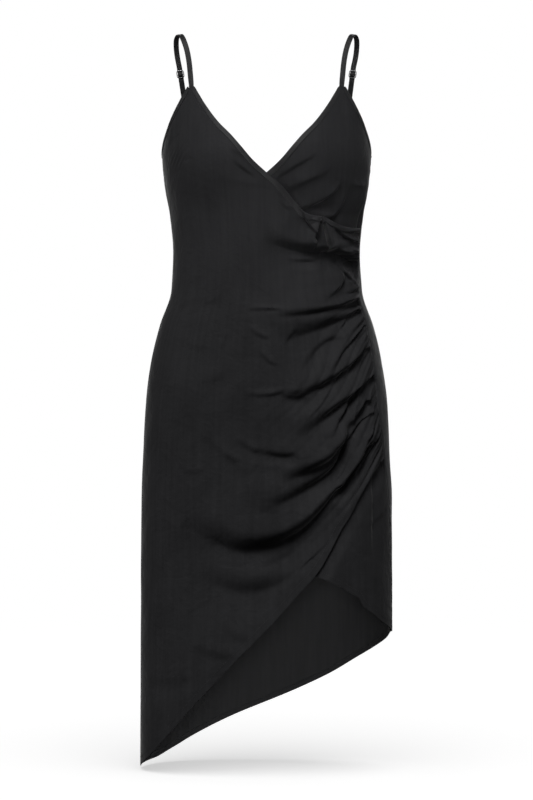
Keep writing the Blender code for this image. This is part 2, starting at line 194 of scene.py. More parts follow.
# Each fold is a valley through three places, which starts at a seam where "start" is over 0.
# The cloth climbs a steep face, of one width at the start and another at the end, to the crest
# on its upper side, and falls softly behind it. Where "behind" is negative, the crest is on the
# lower side. The crest leans over the valley.
FOLD_COLUMNS = (
    "angle_0 height_0 angle_1 height_1 angle_2 height_2 face_0 face_1 behind lift lean start"
)

OVER_FOLDS = table(
    FOLD_COLUMNS,
    # the point where the wrap is drawn together
    (79.6, -347.5, 53.8, -334, 37.2, -329.8, 8.8, 16.9, 27, 17.4, 5.6, 0.35),
    (48.9, -324.7, 27.1, -331.6, -0.3, -317.3, 12.5, 24.7, 30, 17.4, 4.2, 0),
    (32.7, -344.7, 23.8, -344.9, 13, -345.1, 5, 6, 8, 3.5, 1, 0),
    (6.8, -223.5, 14.6, -252.1, 25.1, -285, 4.5, 6, 14, 7.2, 1.6, 0.2),
    (67.4, -310, 55.3, -305.2, 44.3, -294.2, 3.5, 3.5, 6, 6.5, 2, 0.6),
    (76.3, -297.2, 57, -297.7, 44.2, -291.3, 3, 3, 3, 3.5, 1, 0.6),
    (74.3, -330.1, 66.5, -324.9, 60.7, -320.9, 2.5, 2.5, 3, 3.5, 1.2, 0.5),
    (40.1, -313.5, 38.1, -299, 36, -284.5, 5.6, 2.6, 13, 20.3, 4.2, 0.9),
    (40.1, -313.5, 38.1, -299, 36, -284.5, 2.5, 2, -8, 13, 1.1, 0.9),
    (30.7, -305.1, 31.5, -294.9, 33.5, -281.8, 6.9, 3.2, 8, 17.4, 2.2, 0.8),
    (21.7, -275, 25.5, -287.9, 30.3, -303.7, 3, 4, 9, 7.2, 2.6, 0.3),
    (27.1, -285.7, 30.4, -282.6, 33.1, -279.6, 2, 2, 3, 1.8, 0.6, 0.3),
    (22.7, -290.9, 18.8, -286.6, 14.4, -278, 10, 10, 10, 3.9, 0.8, 0.2),
    (15.5, -269.3, 11.3, -268, 6, -256.5, 5, 6, 6, 3, 0.8, 0),
    (8.8, -253.6, 6.5, -247.9, 4.2, -237.9, 2.5, 3, 4, 1.6, 0.4, 0),
    # below the point
    (64.9, -371, 56.5, -359.7, 50.6, -346.8, 3, 3, 8, 3.9, 1.4, 0.5),
    (56.4, -362.7, 50.6, -379.3, 36.9, -397.6, 6, 8, 12, 7.3, 2, 0.2),
    (76, -376.1, 63.7, -385.9, 54.9, -389.4, 3, 3, 4, 2.5, 1, 0.6),
    (41.6, -356.1, 28.2, -365.4, 15.4, -359.8, 8, 10, 10, 1.6, 0.3, 0),
    # the waist
    (73.4, -395.7, 34.4, -414.6, 7.2, -426, 7.5, 11.7, 34, 11.6, 3.5, 0.4),
    (66.6, -399.1, 57.3, -400.4, 49.2, -401.5, 3.5, 4, 5, 3.5, 1, 0.5),
    (60.9, -417.3, 28.9, -443.4, 8.3, -464.2, 7.5, 33.8, 21, 17.4, 2.8, 0.4),
    (10.8, -467.1, 12.5, -455.4, 16.5, -443.6, 3.5, 4, 6, 2.5, 0.5, 0),
    (51.4, -428.1, 47.8, -435.6, 43.9, -444.6, 3, 3, 4, 3, 1, 0.3),
    (49.3, -444.4, 45.2, -453.4, 42.4, -460.8, 3, 3, 4, 1.6, 0.6, 0.2),
    (62.9, -438, 46.2, -466.6, 33.8, -502.1, 3, 8, 14, 9.1, 2.6, 0.4),
    (66.4, -445.2, 62.3, -452.8, 58.9, -460.3, 2.5, 2.5, 4, 3, 0.8, 0.6),
    (44.8, -457.8, 31.3, -465.4, 19.3, -500.7, 8, 9, 15, 5.9, 1.3, 0),
    # the hip
    (60.1, -473.6, 33.3, -518.2, 10.9, -550.4, 7.5, 15.6, 19, 13.8, 3.5, 0.4),
    (22.1, -543.1, 13.3, -549, 4, -538.7, 8, 9, 10, 3, 0.6, 0.2),
    (34.3, -522.6, 26.7, -549, 18.4, -575.3, 2.5, 3, 4, 3, 1, 0),
    (60.8, -513.5, 37.6, -553.4, 16.4, -600.1, 5, 18.2, 23, 15.9, 4.2, 0.5),
    (44.1, -541.6, 38, -568, 29.3, -600.2, 4, 6, 8, 10.1, 2.6, 0.3),
    (54.1, -550.4, 48.3, -568.1, 41.9, -590, 6.2, 10.4, 15, 15.9, 4.2, 0.6),
    (42, -582.7, 30.7, -627.3, 8.3, -662.8, 10, 18.2, 34, 24.6, 5.6, 0.2),
    (49.7, -541.6, 48, -550.4, 45.8, -556.3, 2.5, 3, 3, 3, 1, 0.6),
    (57.9, -566.7, 45.2, -588.6, 35.6, -625.1, 3, 4, 6, 6.5, 2.6, 0.5),
    (36.3, -617.8, 26.3, -658.6, -0.2, -705.2, 6.2, 19.5, 27, 17.4, 4.2, 0.3),
    (57.2, -590.3, 53.6, -600.5, 51.2, -607.8, 3, 3, 4, 3.5, 1, 0.5),
    (55, -615.3, 43.7, -648.8, 32.9, -689.5, 8.8, 11.7, 34, 18.8, 5.6, 0.5),
    (34, -680.8, 0.2, -765.8, -36.6, -739.5, 12.5, 46.8, 114, 23.9, 5.6, 0.5),
    (14.1, -798.8, -7.3, -830.9, -31.1, -806.7, 25, 31.2, 57, 11.9, 2.1, 0.2),
    (13.7, -766.6, 6.9, -782.6, -2, -791.4, 8, 10, 10, 2.6, 0.6, 0),
    # the smooth cloth
    (13.5, -623.4, 5.2, -629.2, -5.7, -623.4, 7, 9, 18, 5.9, 1.3, 0),
    (-3.4, -624.9, -7.5, -619.8, -14, -605.9, 3, 4, 6, 3, 0.8, 0),
    (8.8, -643.9, 0.7, -649.7, -9.3, -645.3, 7, 8, 10, 1.8, 0.4, 0),
    (-6.1, -668.7, -16.7, -641, -30.9, -604.6, 7, 8, 10, 1.3, 0.3, 0),
    (-8.8, -674.5, -10.6, -667.2, -12, -658.5, 4, 4, 5, 1.1, 0.3, 0),
    (4.2, -709.6, 0.7, -708.1, -2.9, -702.3, 5, 5, 6, 1.8, 0.3, 0),
    (16.8, -532.9, 12.4, -537.3, 7.2, -534.4, 5, 6, 7, 1.8, 0.4, 0),
    (-7.3, -901, -12.7, -898.2, -18.8, -886.7, 5, 7, 9, 2.4, 0.8, 0),
    (-14.1, -927.5, -24, -923.5, -34.8, -911, 6, 8, 10, 2.6, 0.8, 0),
    (-34.8, -959.4, -50.1, -964.1, -74.6, -967, 7, 9, 12, 2.8, 0.8, 0),
    (-45.9, -1023.8, -56.1, -1016.7, -68.3, -1005.8, 5, 7, 9, 2.2, 0.6, 0),
    (-6.3, -222.1, -12.3, -214.9, -19.4, -199.2, 5, 7, 8, 3.4, 1, 0),
    (-12.1, -190.4, -16, -189.8, -20.4, -184.7, 4, 5, 6, 2, 0.5, 0),
    (4.7, -240.8, -13.1, -236.4, -31.4, -227.4, 6, 8, 10, 1.2, 0.4, 0),
    (-45.1, -192.9, -53.6, -192.3, -67.4, -189.1, 2.5, 3, 6, 1.8, 0.5, 0),
    (-41.5, -111.6, -42.6, -142.2, -46.6, -178, 7, 8, 9, 2.6, 0.3, 0),
    (9.1, -415, -0.3, -415, -9.6, -416.5, 1.5, 2.5, 4, 3, 0.7, 0),
    (1.8, -459.8, -3.8, -453.9, -9.1, -443.6, 2.5, 3, 5, 2.8, 0.7, 0),
    (5, -499.3, 0.2, -490.5, -4.7, -475.9, 3, 4, 5, 2.2, 0.6, 0),
    (9.1, -534.4, 0.7, -542.4, -9.6, -541.7, 3, 4, 6, 2.6, 0.6, 0),
    (-12, -640.2, -15.8, -635.1, -21.1, -626.4, 3, 4, 6, 2.2, 0.5, 0),
    (-18.1, -446.5, -20.8, -461.2, -22.3, -483.1, 4, 4, 5, 1.4, 0.3, 0),
    (-28.4, -649.9, -35.3, -655.9, -44.3, -650.3, 5, 6, 8, 1.5, 0.3, 0),
    (-47.6, -400.1, -56.8, -411.6, -71.6, -412.2, 5, 6, 8, 1.4, 0.3, 0),
    (-59.9, -130.5, -61.5, -154.4, -64.5, -177.8, 6, 7, 8, 1.6, 0.3, 0),
    (-22.8, -397.9, -36.5, -407.9, -57.9, -402.6, 9, 10, 14, 1.2, 0.2, 0),
    (-25.7, -477.2, -40, -475.6, -61.3, -458.8, 9, 10, 14, 1.2, 0.2, 0),
    (-16.2, -505.1, -25.5, -525.6, -37.6, -529.9, 9, 10, 14, 1, 0.2, 0),
    (-39.5, -320.8, -47.6, -355.8, -49.4, -400.1, 8, 9, 12, 0.9, 0.2, 0),
)

UNDER_FOLDS = table(
    FOLD_COLUMNS,
    (28.1, -193.2, 16.1, -209.2, 5.2, -229.3, 4, 6, 9, 3.4, 1, 0),
    (35.9, -221.3, 24.7, -230.5, 12.7, -247.9, 7, 8, 9, 4, 1.4, 0),
    (46.7, -230.3, 36.3, -255.6, 19.8, -272.1, 6, 8, 9, 7.5, 2.6, 0),
    (38.3, -283, 49.3, -272, 53.3, -235.3, 5, 8, 8, 4.5, 1.2, 0.4),
    (74.2, -230.8, 63, -233.3, 54, -232.3, 2.5, 3, 4, 1.6, 0.5, 0.4),
    (49.8, -225.6, 44.8, -225.5, 39.4, -222.4, 2.5, 3, 4, 1.4, 0.4, 0),
    (47.9, -104.7, 49, -138.3, 49.1, -173.1, 6, 7, 9, 1.6, 0.3, 0),
    (61.3, -652.4, 58.3, -690.7, 57.4, -786.5, 7, 9, 16, 4.5, 0.8, 0.2),
    (41.9, -720.7, 40.6, -767.6, 41.8, -829.3, 8, 9, 11, 1.2, 0.2, 0),
    (71.1, -703.4, 63.4, -725, 49.8, -738.8, 5, 6, 8, 1.6, 0.4, 0.4),
)

BACK_FOLDS = table(
    FOLD_COLUMNS,
    (104, -338, 135, -330, 168, -308, 7, 11, 14, 6, 2, 0.4),
    (104, -406, 132, -408, 160, -390, 7, 12, 14, 7.5, 2.5, 0.4),
    (106, -472, 124, -480, 146, -465, 7, 12, 13, 7.5, 2.5, 0.4),
    (106, -572, 120, -587, 142, -592, 8, 13, 14, 7.5, 2.5, 0.4),
    (108, -664, 122, -699, 146, -719, 9, 14, 16, 7, 2, 0.4),
    (256, -360, 230, -358, 200, -340, 8, 12, 14, 5, 1.5, 0.3),
    (256, -431, 234, -447, 208, -441, 8, 13, 15, 5.5, 1.5, 0.3),
    (112, -368, 128, -366, 150, -352, 5, 6, 7, 2.8, 1, 0),
    (112, -436, 126, -442, 150, -426, 5, 6, 7, 3, 1, 0),
    (110, -519, 124, -527, 140, -523, 5, 7, 8, 2.8, 1, 0),
    (110, -613, 122, -633, 140, -647, 5, 7, 8, 2.8, 1, 0),
    (250, -391, 236, -396, 214, -386, 6, 7, 9, 2.8, 1, 0),
    (250, -478, 238, -494, 216, -500, 7, 8, 10, 3, 1, 0),
    (160, -430, 182, -422, 204, -408, 9, 11, 13, 2.6, 0.8, 0),
    (150, -830, 170, -860, 196, -868, 10, 12, 15, 2.4, 0.6, 0),
    (200, -640, 226, -652, 250, -640, 10, 11, 14, 2, 0.4, 0),
    (176, -700, 196, -722, 222, -724, 10, 12, 15, 2.2, 0.5, 0),
    (126, -250, 150, -262, 176, -262, 8, 9, 12, 1.8, 0.4, 0),
    (196, -264, 218, -258, 240, -240, 8, 9, 12, 1.6, 0.4, 0),
)

# The straps: the way over the right shoulder, the slider's place, and the ways through the slider,
# back into it and round a bar, as (down from its middle, off the back) pairs. Past the slider the
# two layers of the strap lie LAYER_OFF apart.
STRAP_ROUTE = table(
    "x y z",
    (112.7, -53, -66), (114.8, -50, -46), (118.5, -45, -27), (124.3, -35, -10), (129, -18, -2),
    (133, 2, -1), (136, 20, -6), (136.2, 33, -18), (134.6, 39.6, -30.5),
)
SLIDER_PLACE = (130.6, 44.8, -53.4)
RING_ABOVE_BACK = 24.0
WEAVE = (
    (-11.0, -1.0), (-7.6, -1.5), (-5.6, -1.6), (-3.9, -0.7), (-2.6, 1.4), (-1.2, 2.6),
    (0.0, 2.9), (1.2, 2.6), (2.6, 1.4), (3.9, -0.7), (5.6, -1.6), (8.0, -1.4),
)
WEAVE_END = (
    (8.0, -2.75), (5.6, -2.95), (2.0, -1.95), (0.2, -1.55), (-1.2, -0.9), (-1.5, 0.0),
    (-1.1, 1.0), (0.0, 1.5),
)
ROUND_BAR = (
    (-6.5, 0.75), (-1.8, 1.3), (0.0, 1.5), (1.1, 1.05), (1.5, 0.0), (1.1, -1.05), (0.0, -1.5),
    (-1.8, -1.3), (-6.5, -0.75),
)
LAYER_OFF = 1.35
PAST_SLIDER = 14.0


def length(name, description, default, least, most, precision=5):
    """A length in metres that a user can change."""
    return FloatProperty(
        name=name,
        description=description,
        default=default,
        min=least,
        max=most,
        precision=precision,
        subtype="DISTANCE",
        unit="LENGTH",
    )


def colour_of(name, description, default):
    """A colour that a user can change."""
    return FloatVectorProperty(
        name=name,
        description=description,
        default=default,
        size=3,
        min=0.0,
        max=1.0,
        subtype="COLOR",
    )


class DressSizes(bpy.types.PropertyGroup):
    """Sizes of the dress's cloth, edges and sewing."""

    cloth: length("Cloth thickness", "Thickness of the satin", 0.0007, 0.0002, 0.0012)
    binding: length(
        "Binding thickness", "How far the binding stands out from the cloth", 0.0009, 0.0003, 0.002
    )
    hem: length("Turned hem", "Width of the turned hems", 0.0075, 0.004, 0.02, 4)
    stitch: length(
        "Stitch length", "Length of one stitch, without the gap after it", 0.0024, 0.001, 0.005, 4
    )
    pucker: length(
        "Seam pucker", "Height of the small gathers along the right side seam", 0.0085, 0.0, 0.012
    )


class DressColours(bpy.types.PropertyGroup):
    """Colours of the dress and of the floor it stands over."""

    satin: colour_of("Satin", "Colour of the cloth", (0.0165, 0.0165, 0.0175))
    reverse: colour_of(
        "Reverse of the satin",
        "Colour of the dull side of the cloth, seen inside the back",
        (0.022, 0.022, 0.023),
    )
    binding: colour_of(
        "Binding and straps",
        "Colour of the folded strips, which catch more light than the cloth",
        (0.0095, 0.0095, 0.0102),
    )
    thread: colour_of("Thread", "Colour of the stitches", (0.02, 0.02, 0.021))
    metal: colour_of("Metal", "Colour of the sliders and rings", (0.3, 0.3, 0.31))
    floor: colour_of("Floor", "Colour of the studio floor", (0.85, 0.85, 0.85))


def curve(x_values, y_values, at):
    """A cubic through each pair of neighbouring points whose slope at a point is the harmonic
    mean of the slopes beside it, and level where they differ in sign, so it never overshoots."""
    at = np.asarray(at, float)
    step = np.diff(x_values)
    slope = np.diff(y_values) / step
    product = slope[:-1] * slope[1:]
    total = slope[:-1] + slope[1:]
    inner = np.where(product > 0, 2 * product / np.where(product > 0, total, 1), 0)
    tangent = np.concatenate([slope[:1], inner, slope[-1:]])
    place = np.clip(np.searchsorted(x_values, at, side="right") - 1, 0, len(step) - 1)
    width = step[place]
    t = (at - x_values[place]) / width
    return (
        (1 + 2 * t) * (1 - t) ** 2 * y_values[place]
        + t * (1 - t) ** 2 * width * tangent[place]
        + t * t * (3 - 2 * t) * y_values[place + 1]
        + t * t * (t - 1) * width * tangent[place + 1]
    )


def edge_height(edge, at):
    """An edge's second column at a place in its first, level past the edge's two ends."""
    known, values = edge.values()
    return curve(known, values, np.clip(at, known[0], known[-1]))


def right_seam(height):
    """The angle of the right side seam at a height."""
    return edge_height(RIGHT_SEAM, height)


def left_seam(height):
    """The angle of the left side seam, straight down the side."""
    return np.full_like(np.asarray(height, float), -90.0)


def left_seam_behind(height):
    """The left side seam's angle as the back reaches it, a full turn on."""
    return left_seam(height) + 360


def unrolled(angle):
    """Millimetres round the dress at an angle, as if it were a drum."""
    return np.radians(angle) * UNROLL_RADIUS


def steps(path):
    """The way gone along a path of points, from nothing at its start."""
    return np.concatenate([[0], np.cumsum(np.linalg.norm(np.diff(path, axis=0), axis=1))])


def ease(t):
    """Three t squared less two t cubed, between 0 and 1."""
    t = np.clip(t, 0, 1)
    return t * t * (3 - 2 * t)


def figure(angle, height):
    """The bare figure: x is the half width times the sine, and y is the depth times the cosine,
    squared out by the sine squared, less two rounded cups that fall off as exp(-distance^2)."""
    sine = np.sin(np.radians(angle))
    cosine = np.cos(np.radians(angle))
    half_width, front, back = (
        curve(FIGURE["height"], FIGURE[name], height) for name in ("half_width", "front", "back")
    )
    x = half_width * sine
    y = -np.where(cosine > 0, front, back) * cosine * (1 + SQUARENESS * sine**2)
    sideways = (np.abs(x) - CUP_CENTRE[0]) / CUP_REACH[0]
    upwards = (height - CUP_CENTRE[1]) / CUP_REACH[1]
    cup = CUP_DEPTH * np.exp(-(sideways**2) - upwards**2) * np.sqrt(np.clip(cosine, 0, 1))
    return np.stack([x, y - cup, height + 0 * x], axis=-1)


def crossed(place, angle, height):
    """The surface's normal: the cross product of a short step round it and one up it."""
    round_it = place(angle + 0.4, height) - place(angle - 0.4, height)
    up_it = place(angle, height + 1.0) - place(angle, height - 1.0)
    normal = np.cross(round_it, up_it)
    return normal / np.linalg.norm(normal, axis=-1, keepdims=True)


def fold_field(folds, across, height):
    """How far the folds raise the cloth, and how far they slide it over their valleys.

    A valley is a quadratic through its three places, run on a little at its free end. With d the
    distance from it on the upper side, the cloth climbs as a quarter sine of d/face, steepest at
    the valley, and falls behind the crest as exp(-((d-face)/behind)^2). The valley is sunk by a
    fifth to over a half of the height, and on the lower side the cloth comes back from there as
    exp(-(d/1.8 face)^2). The valley is rounded as a hyperbola, the more the lower the fold. Along
    the fold the height grows as a sine from its start and dies out as the cosine of run^2.2.
    """
    shape = across.shape
    across, height = across.ravel(), height.ravel()
    lift = np.zeros_like(across)
    slide = np.zeros((2, len(across)))
    share = np.linspace(0, RUN_ON, VALLEY_PLACES)
    weights = ((1 - share) ** 2, 2 * share * (1 - share), share**2)
    for fold in zip(*folds.values()):
        angles, heights = fold[0:6:2], fold[1:6:2]
        face_0, face_1, behind, top, lean, start = fold[6:]
        middle = [2 * values[1] - (values[0] + values[2]) / 2 for values in (angles, heights)]
        line_x = unrolled(weights[0] * angles[0] + weights[1] * middle[0] + weights[2] * angles[2])
        line_z = weights[0] * heights[0] + weights[1] * middle[1] + weights[2] * heights[2]
        reach = 1.3 * max(face_0, face_1) + 2.2 * abs(behind)
        near = np.flatnonzero(
            (across > line_x.min() - reach)
            & (across < line_x.max() + reach)
            & (height > line_z.min() - reach)
            & (height < line_z.max() + reach)
        )
        if not len(near):
            continue
        step_x, step_z = np.diff(line_x), np.diff(line_z)
        off_x = across[near, None] - line_x[:-1]
        off_z = height[near, None] - line_z[:-1]
        along = np.clip((off_x * step_x + off_z * step_z) / (step_x**2 + step_z**2), 0, 1)
        far = np.hypot(off_x - along * step_x, off_z - along * step_z)
        nearest = far.argmin(axis=-1)
        each = np.arange(len(near))
        run = (nearest + along[each, nearest]) / len(step_x)
        turn = (1 if angles[2] > angles[0] else -1) * (1 if behind > 0 else -1)
        side = step_x[nearest] * off_z[each, nearest] - step_z[nearest] * off_x[each, nearest]
        distance = far[each, nearest] * np.sign(side * turn)
        face = face_0 + (face_1 - face_0) * run
        back = np.maximum(distance - face, 0) / (abs(behind) * (0.8 + 0.4 * run))
        rounding = face * (0.5 - 0.4 * min(top / 8, 1))
        far_off = np.hypot(distance, rounding) - rounding
        sunk = 0.2 + 0.48 * ease((abs(behind) - 5) / 6)
        climb = np.sin(np.clip(far_off / face, 0, 1) * math.pi / 2) * np.exp(-(back**2))
        below = np.exp(-((far_off / (1.8 * face)) ** 2))
        profile = np.where(distance > 0, climb - sunk * np.exp(-(back**2)), -sunk * below)
        rise = start + (1 - start) * np.sin(np.clip(run / 0.35, 0, 1) * math.pi / 2)
        fade = rise * np.cos(np.clip(run, 0, 1) ** 2.2 * math.pi / 2)
        lift[near] += top * fade * profile
        pull = lean * fade * climb * (distance > 0) * turn / np.hypot(step_x, step_z)[nearest]
        slide[0, near] += pull * step_z[nearest]
        slide[1, near] -= pull * step_x[nearest]
    return lift.reshape(shape), slide[0].reshape(shape), slide[1].reshape(shape)


def gathers(along, from_seam, reach):
    """Small ridges that leave a seam, round on top with sharp valleys: two rows of |sin| waves of
    uneven length. They are sewn flat at the seam, and die out from it as exp(-(d/reach)^1.5), the
    finer row in half the reach."""
    away = np.maximum(from_seam, 0) / reach
    fine = np.abs(np.sin(along / 2.5 + 1.3 * np.sin(along / 37))) - 0.3
    wide = np.abs(np.sin(along / 5.3 + 2.1 + 1.1 * np.sin(along / 23))) - 0.3
    strength = 0.6 + 0.4 * np.sin(along / 19 + 1.1) * np.sin(along / 51)
    wave = 0.6 * fine * np.exp(-((2 * away) ** 1.5)) + 0.8 * wide * np.exp(-(away**1.5))
    freed = 0.15 + 0.35 * ease(from_seam / 5) + 0.5 * ease(from_seam / (reach / 3))
    return wave * strength * freed


def unevenness(across, height):
    """Soft waves in several directions, as in cloth that has been folded and hung."""
    return (
        0.30 * np.sin(across / 21 + height / 63 + 0.8)
        + 0.25 * np.sin(across / 33 - height / 24 + 2.0)
        + 0.20 * np.sin(across / 14 + height / 17 + 4.1)
        + 0.15 * np.sin(across / 9.5 - height / 12 + 5.2)
    )


class Cloth:
    """One panel of cloth on the figure, between two side seams, a top edge and a hem. An inset
    moves it inwards, and its two seams pucker by the millimetres given for each."""

    def __init__(self, seams, top, hem, folds, inset=None, pucker=(0.0, 0.0)):
        self.start, self.end = seams
        self.top, self.hem, self.folds = top, hem, folds
        self.inset = inset
        self.pucker = pucker

    def grid(self, top_angles, rows, dense):
        """Angles and heights of a grid. A column keeps its share of the way between the seams,
        and the given share of its rows falls in the top 15% of the way down to the hem."""
        top_height = edge_height(self.top, top_angles)
        first, last = self.start(top_height), self.end(top_height)
        share = (top_angles - first) / (last - first)
        hem_height = edge_height(self.hem, top_angles)
        for _ in range(12):
            at = self.start(hem_height) + share * (self.end(hem_height) - self.start(hem_height))
            hem_height = edge_height(self.hem, at)
        down = np.interp(np.linspace(0, 1, rows), [0, dense, 1], [0, 0.15, 1])[:, None]
        height = top_height + (hem_height - top_height) * down
        first, last = self.start(height), self.end(height)
        return first + share * (last - first), height

    def lifted(self, angle, height):
        """The folded surface at an angle and a height: the figure at a place slid by the folds,
        moved along its normal by the folds, the gathers, the unevenness and a groove of
        exp(-(d/width)^2) at each seam. The folds sink to 0.15 at a seam, further from it where the
        cloth turns to the side, and the gathers fan down from the right seam below the waist."""
        across = unrolled(angle)
        lift, slide_x, slide_z = fold_field(self.folds, across, height)
        from_start = unrolled(angle - self.start(height))
        from_end = unrolled(self.end(height) - angle)
        from_top = edge_height(self.top, angle) - height
        from_hem = height - edge_height(self.hem, angle)
        from_seam = np.minimum(from_start, from_end)
        inside = np.minimum(from_seam, np.minimum(from_top, from_hem))
        turned_away = ease((np.abs(angle) - 66) / 12)
        lift = lift * (0.15 + 0.85 * ease(from_seam / (7 + 25 * turned_away)))
        slide = ease(from_seam / 8) * ease(from_hem / 10) * ease(from_top / 5)
        start_pucker, end_pucker = self.pucker
        fan = height + from_end * (0.15 + 0.75 * ease((-380 - height) / 160))
        lift = lift + end_pucker * gathers(fan, from_end, GATHER_REACH)
        lift = lift + start_pucker * gathers(height * 0.8, from_start, SEAM_PUCKER_REACH)
        lift = lift - SEAM_GROOVE * np.exp(-((from_seam / SEAM_GROOVE_WIDTH) ** 2))
        lift = lift + unevenness(across, height) * ease(inside / UNEVEN_FROM_EDGE)
        if self.inset is not None:
            lift = lift - self.inset(angle, height)
        moved_angle = angle + np.degrees(slide_x * slide / UNROLL_RADIUS)
        moved_height = height + slide_z * slide
        base = figure(moved_angle, moved_height)
        return base + lift[..., None] * crossed(figure, moved_angle, moved_height)


def under_front_inset(angle, height):
    """How far the under front lies inside: LAYER under the over front, less towards the right
    seam that joins them, and below the over front's valleys. It is nothing clear of it."""
    above = height - edge_height(OVER_TOP, np.clip(angle, -90, 80))
    below = edge_height(OVER_HEM, np.clip(angle, -90, 70)) - height
    from_seam = unrolled(right_seam(height) - angle)
    deep = LAYER * (0.35 + 0.9 * ease(from_seam / 10))
    over_lift = fold_field(OVER_FOLDS, unrolled(angle), height)[0]
    deep = deep + np.maximum(-over_lift, 0) * ease(from_seam / 8)
    return deep * (1 - ease((np.maximum(above, below) - LAYER_LAP) / LAYER_EASE))


def cloth(name):
    """One of the three panels by name."""
    pucker = bpy.context.scene.dress_sizes.pucker / MM
    front, rear = (left_seam, right_seam), (right_seam, left_seam_behind)
    if name == "over":
        return Cloth(front, OVER_TOP, OVER_HEM, OVER_FOLDS, None, (0.12, pucker))
    if name == "under":
        return Cloth(front, UNDER_TOP, UNDER_HEM, UNDER_FOLDS, under_front_inset)
    return Cloth(rear, BACK_TOP, BACK_HEM, BACK_FOLDS, None, (1.6, 0.6))


def panels():
    """The over front, the under front and the back."""
    return [cloth(name) for name in ("over", "under", "back")]


def smooth_route(points, each):
    """A smooth curve through the points, with a number of places on each stretch: the cubic
    whose slope at a point is half the step between the points beside it."""
    points = np.asarray(points, float)
    ends = [2 * points[0] - points[1], *points, 2 * points[-1] - points[-2]]
    a, b, c, d = (np.array(ends[i : len(ends) - 3 + i])[:, None] for i in range(4))
    t = np.linspace(0, 1, each, endpoint=False)[None, :, None]
    cubic = 2 * b + (c - a) * t + (2 * a - 5 * b + 4 * c - d) * t**2
    cubic = cubic + (3 * b - a - 3 * c + d) * t**3
    return np.concatenate([(cubic / 2).reshape(-1, 3), points[-1:]])


def unit(vectors):
    """The vectors at a length of one."""
    return vectors / np.linalg.norm(vectors, axis=-1, keepdims=True)


def closed_shell(outer, inner):
    """A wall between two grids: round each row from the outer grid to the inner one and back,
    with a strip across the first and last rows."""
    rows, columns = outer.shape[:2]
    front = np.arange(rows * columns).reshape(rows, columns)
    back = front + rows * columns
    loop = np.concatenate([front, back[:, ::-1]], axis=1)
    after = np.roll(loop, -1, axis=1)
    faces = np.stack([loop[:-1], after[:-1], after[1:], loop[1:]], -1).reshape(-1, 4)
    top = np.stack([front[0, 1:], front[0, :-1], back[0, :-1], back[0, 1:]], -1)
    low = np.stack([front[-1, :-1], front[-1, 1:], back[-1, 1:], back[-1, :-1]], -1)
    points = np.concatenate([outer.reshape(-1, 3), inner.reshape(-1, 3)])
    return points, np.concatenate([faces, top, low])


def closed_tube(rings):
    """A tube through closed rings of points, with each end drawn together in its middle."""
    count, around = rings.shape[:2]
    index = np.arange(count * around).reshape(count, around)
    after = np.roll(index, -1, axis=1)
    sides = np.stack([index[:-1], after[:-1], after[1:], index[1:]], -1).reshape(-1, 4)
    first, last = count * around, count * around + 1
    caps = [
        np.stack([after[0], index[0], np.full(around, first)], -1),
        np.stack([index[-1], after[-1], np.full(around, last)], -1),
    ]
    points = np.concatenate([rings.reshape(-1, 3), rings[[0, -1]].mean(axis=1)])
    return points, [*sides.tolist(), *np.concatenate(caps).tolist()]


def flat_map(across, along, repeats=None):
    """A piece's map in metres, from the millimetres across and along it at each point of its
    grid. Its first points come again at the end: all of them for an inner wall, two for caps."""
    flat = np.stack(np.broadcast_arrays(across, along), -1).reshape(-1, 2) * MM
    return np.concatenate([flat, flat[:repeats]])


def outward_faces(points, faces):
    """The faces as they are, or all turned round if the body they close has a negative volume."""
    total = 0.0
    for size in {len(face) for face in faces}:
        group = np.array([face for face in faces if len(face) == size])
        corner = points[group[:, 0]]
        for k in range(1, size - 1):
            second, third = points[group[:, k]], points[group[:, k + 1]]
            total += np.einsum("ij,ij->", corner, np.cross(second, third))
    return faces if total > 0 else [list(face)[::-1] for face in faces]


def add_piece(name, points, faces, finish, uv=None, replaces=(), sharp=60.0):
    """A mesh object from points in millimetres, with its finish, its body and its map."""
    points = np.asarray(points)
    faces = outward_faces(points, faces.tolist() if isinstance(faces, np.ndarray) else faces)
    mesh = bpy.data.meshes.new(name)
    mesh.from_pydata((points * MM).tolist(), [], faces)
    mesh.materials.append(cloth_finish(finish))
    mesh.polygons.foreach_set("use_smooth", np.ones(len(mesh.polygons), bool))
    mesh.set_sharp_from_angle(angle=math.radians(sharp))
    if uv is not None:
        layer = mesh.uv_layers.new(name="Cloth")
        corner = np.empty(len(mesh.loops), np.int32)
        mesh.loops.foreach_get("vertex_index", corner)
        layer.data.foreach_set("uv", np.asarray(uv, np.float32)[corner].ravel())
    piece = bpy.data.objects.new(name, mesh)
    bpy.context.scene.collection.objects.link(piece)
    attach(piece, "root")
    if replaces:
        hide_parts(*replaces)
    return piece


def add_node(tree, kind, values=(), **settings):
    """A node with its settings, and its input sockets set or linked in pairs."""
    made = tree.nodes.new(kind)
    for key, value in settings.items():
        setattr(made, key, value)
    for socket, value in values:
        if isinstance(value, bpy.types.NodeSocket):
            tree.links.new(value, made.inputs[socket])
        else:
            made.inputs[socket].default_value = value
    return made


def new_finish(name, colour, roughness=0.5, specular=0.5):
    """A new material with its plain values, its tree, its shader and its coordinates."""
    made = bpy.data.materials.new(name)
    made.use_nodes = True
    made.diffuse_color = (*colour, 1.0)
    tree = made.node_tree
    shader = tree.nodes["Principled BSDF"]
    shader.inputs["Base Color"].default_value = (*colour, 1.0)
    shader.inputs["Roughness"].default_value = roughness
    shader.inputs["Specular IOR Level"].default_value = specular
    return made, tree, shader, add_node(tree, "ShaderNodeTexCoord").outputs


def noise(tree, where, scale, detail, **inputs):
    """The value of a noise at a place."""
    values = [("Vector", where), ("Scale", scale), ("Detail", detail), *inputs.items()]
    return add_node(tree, "ShaderNodeTexNoise", values).outputs["Fac"]


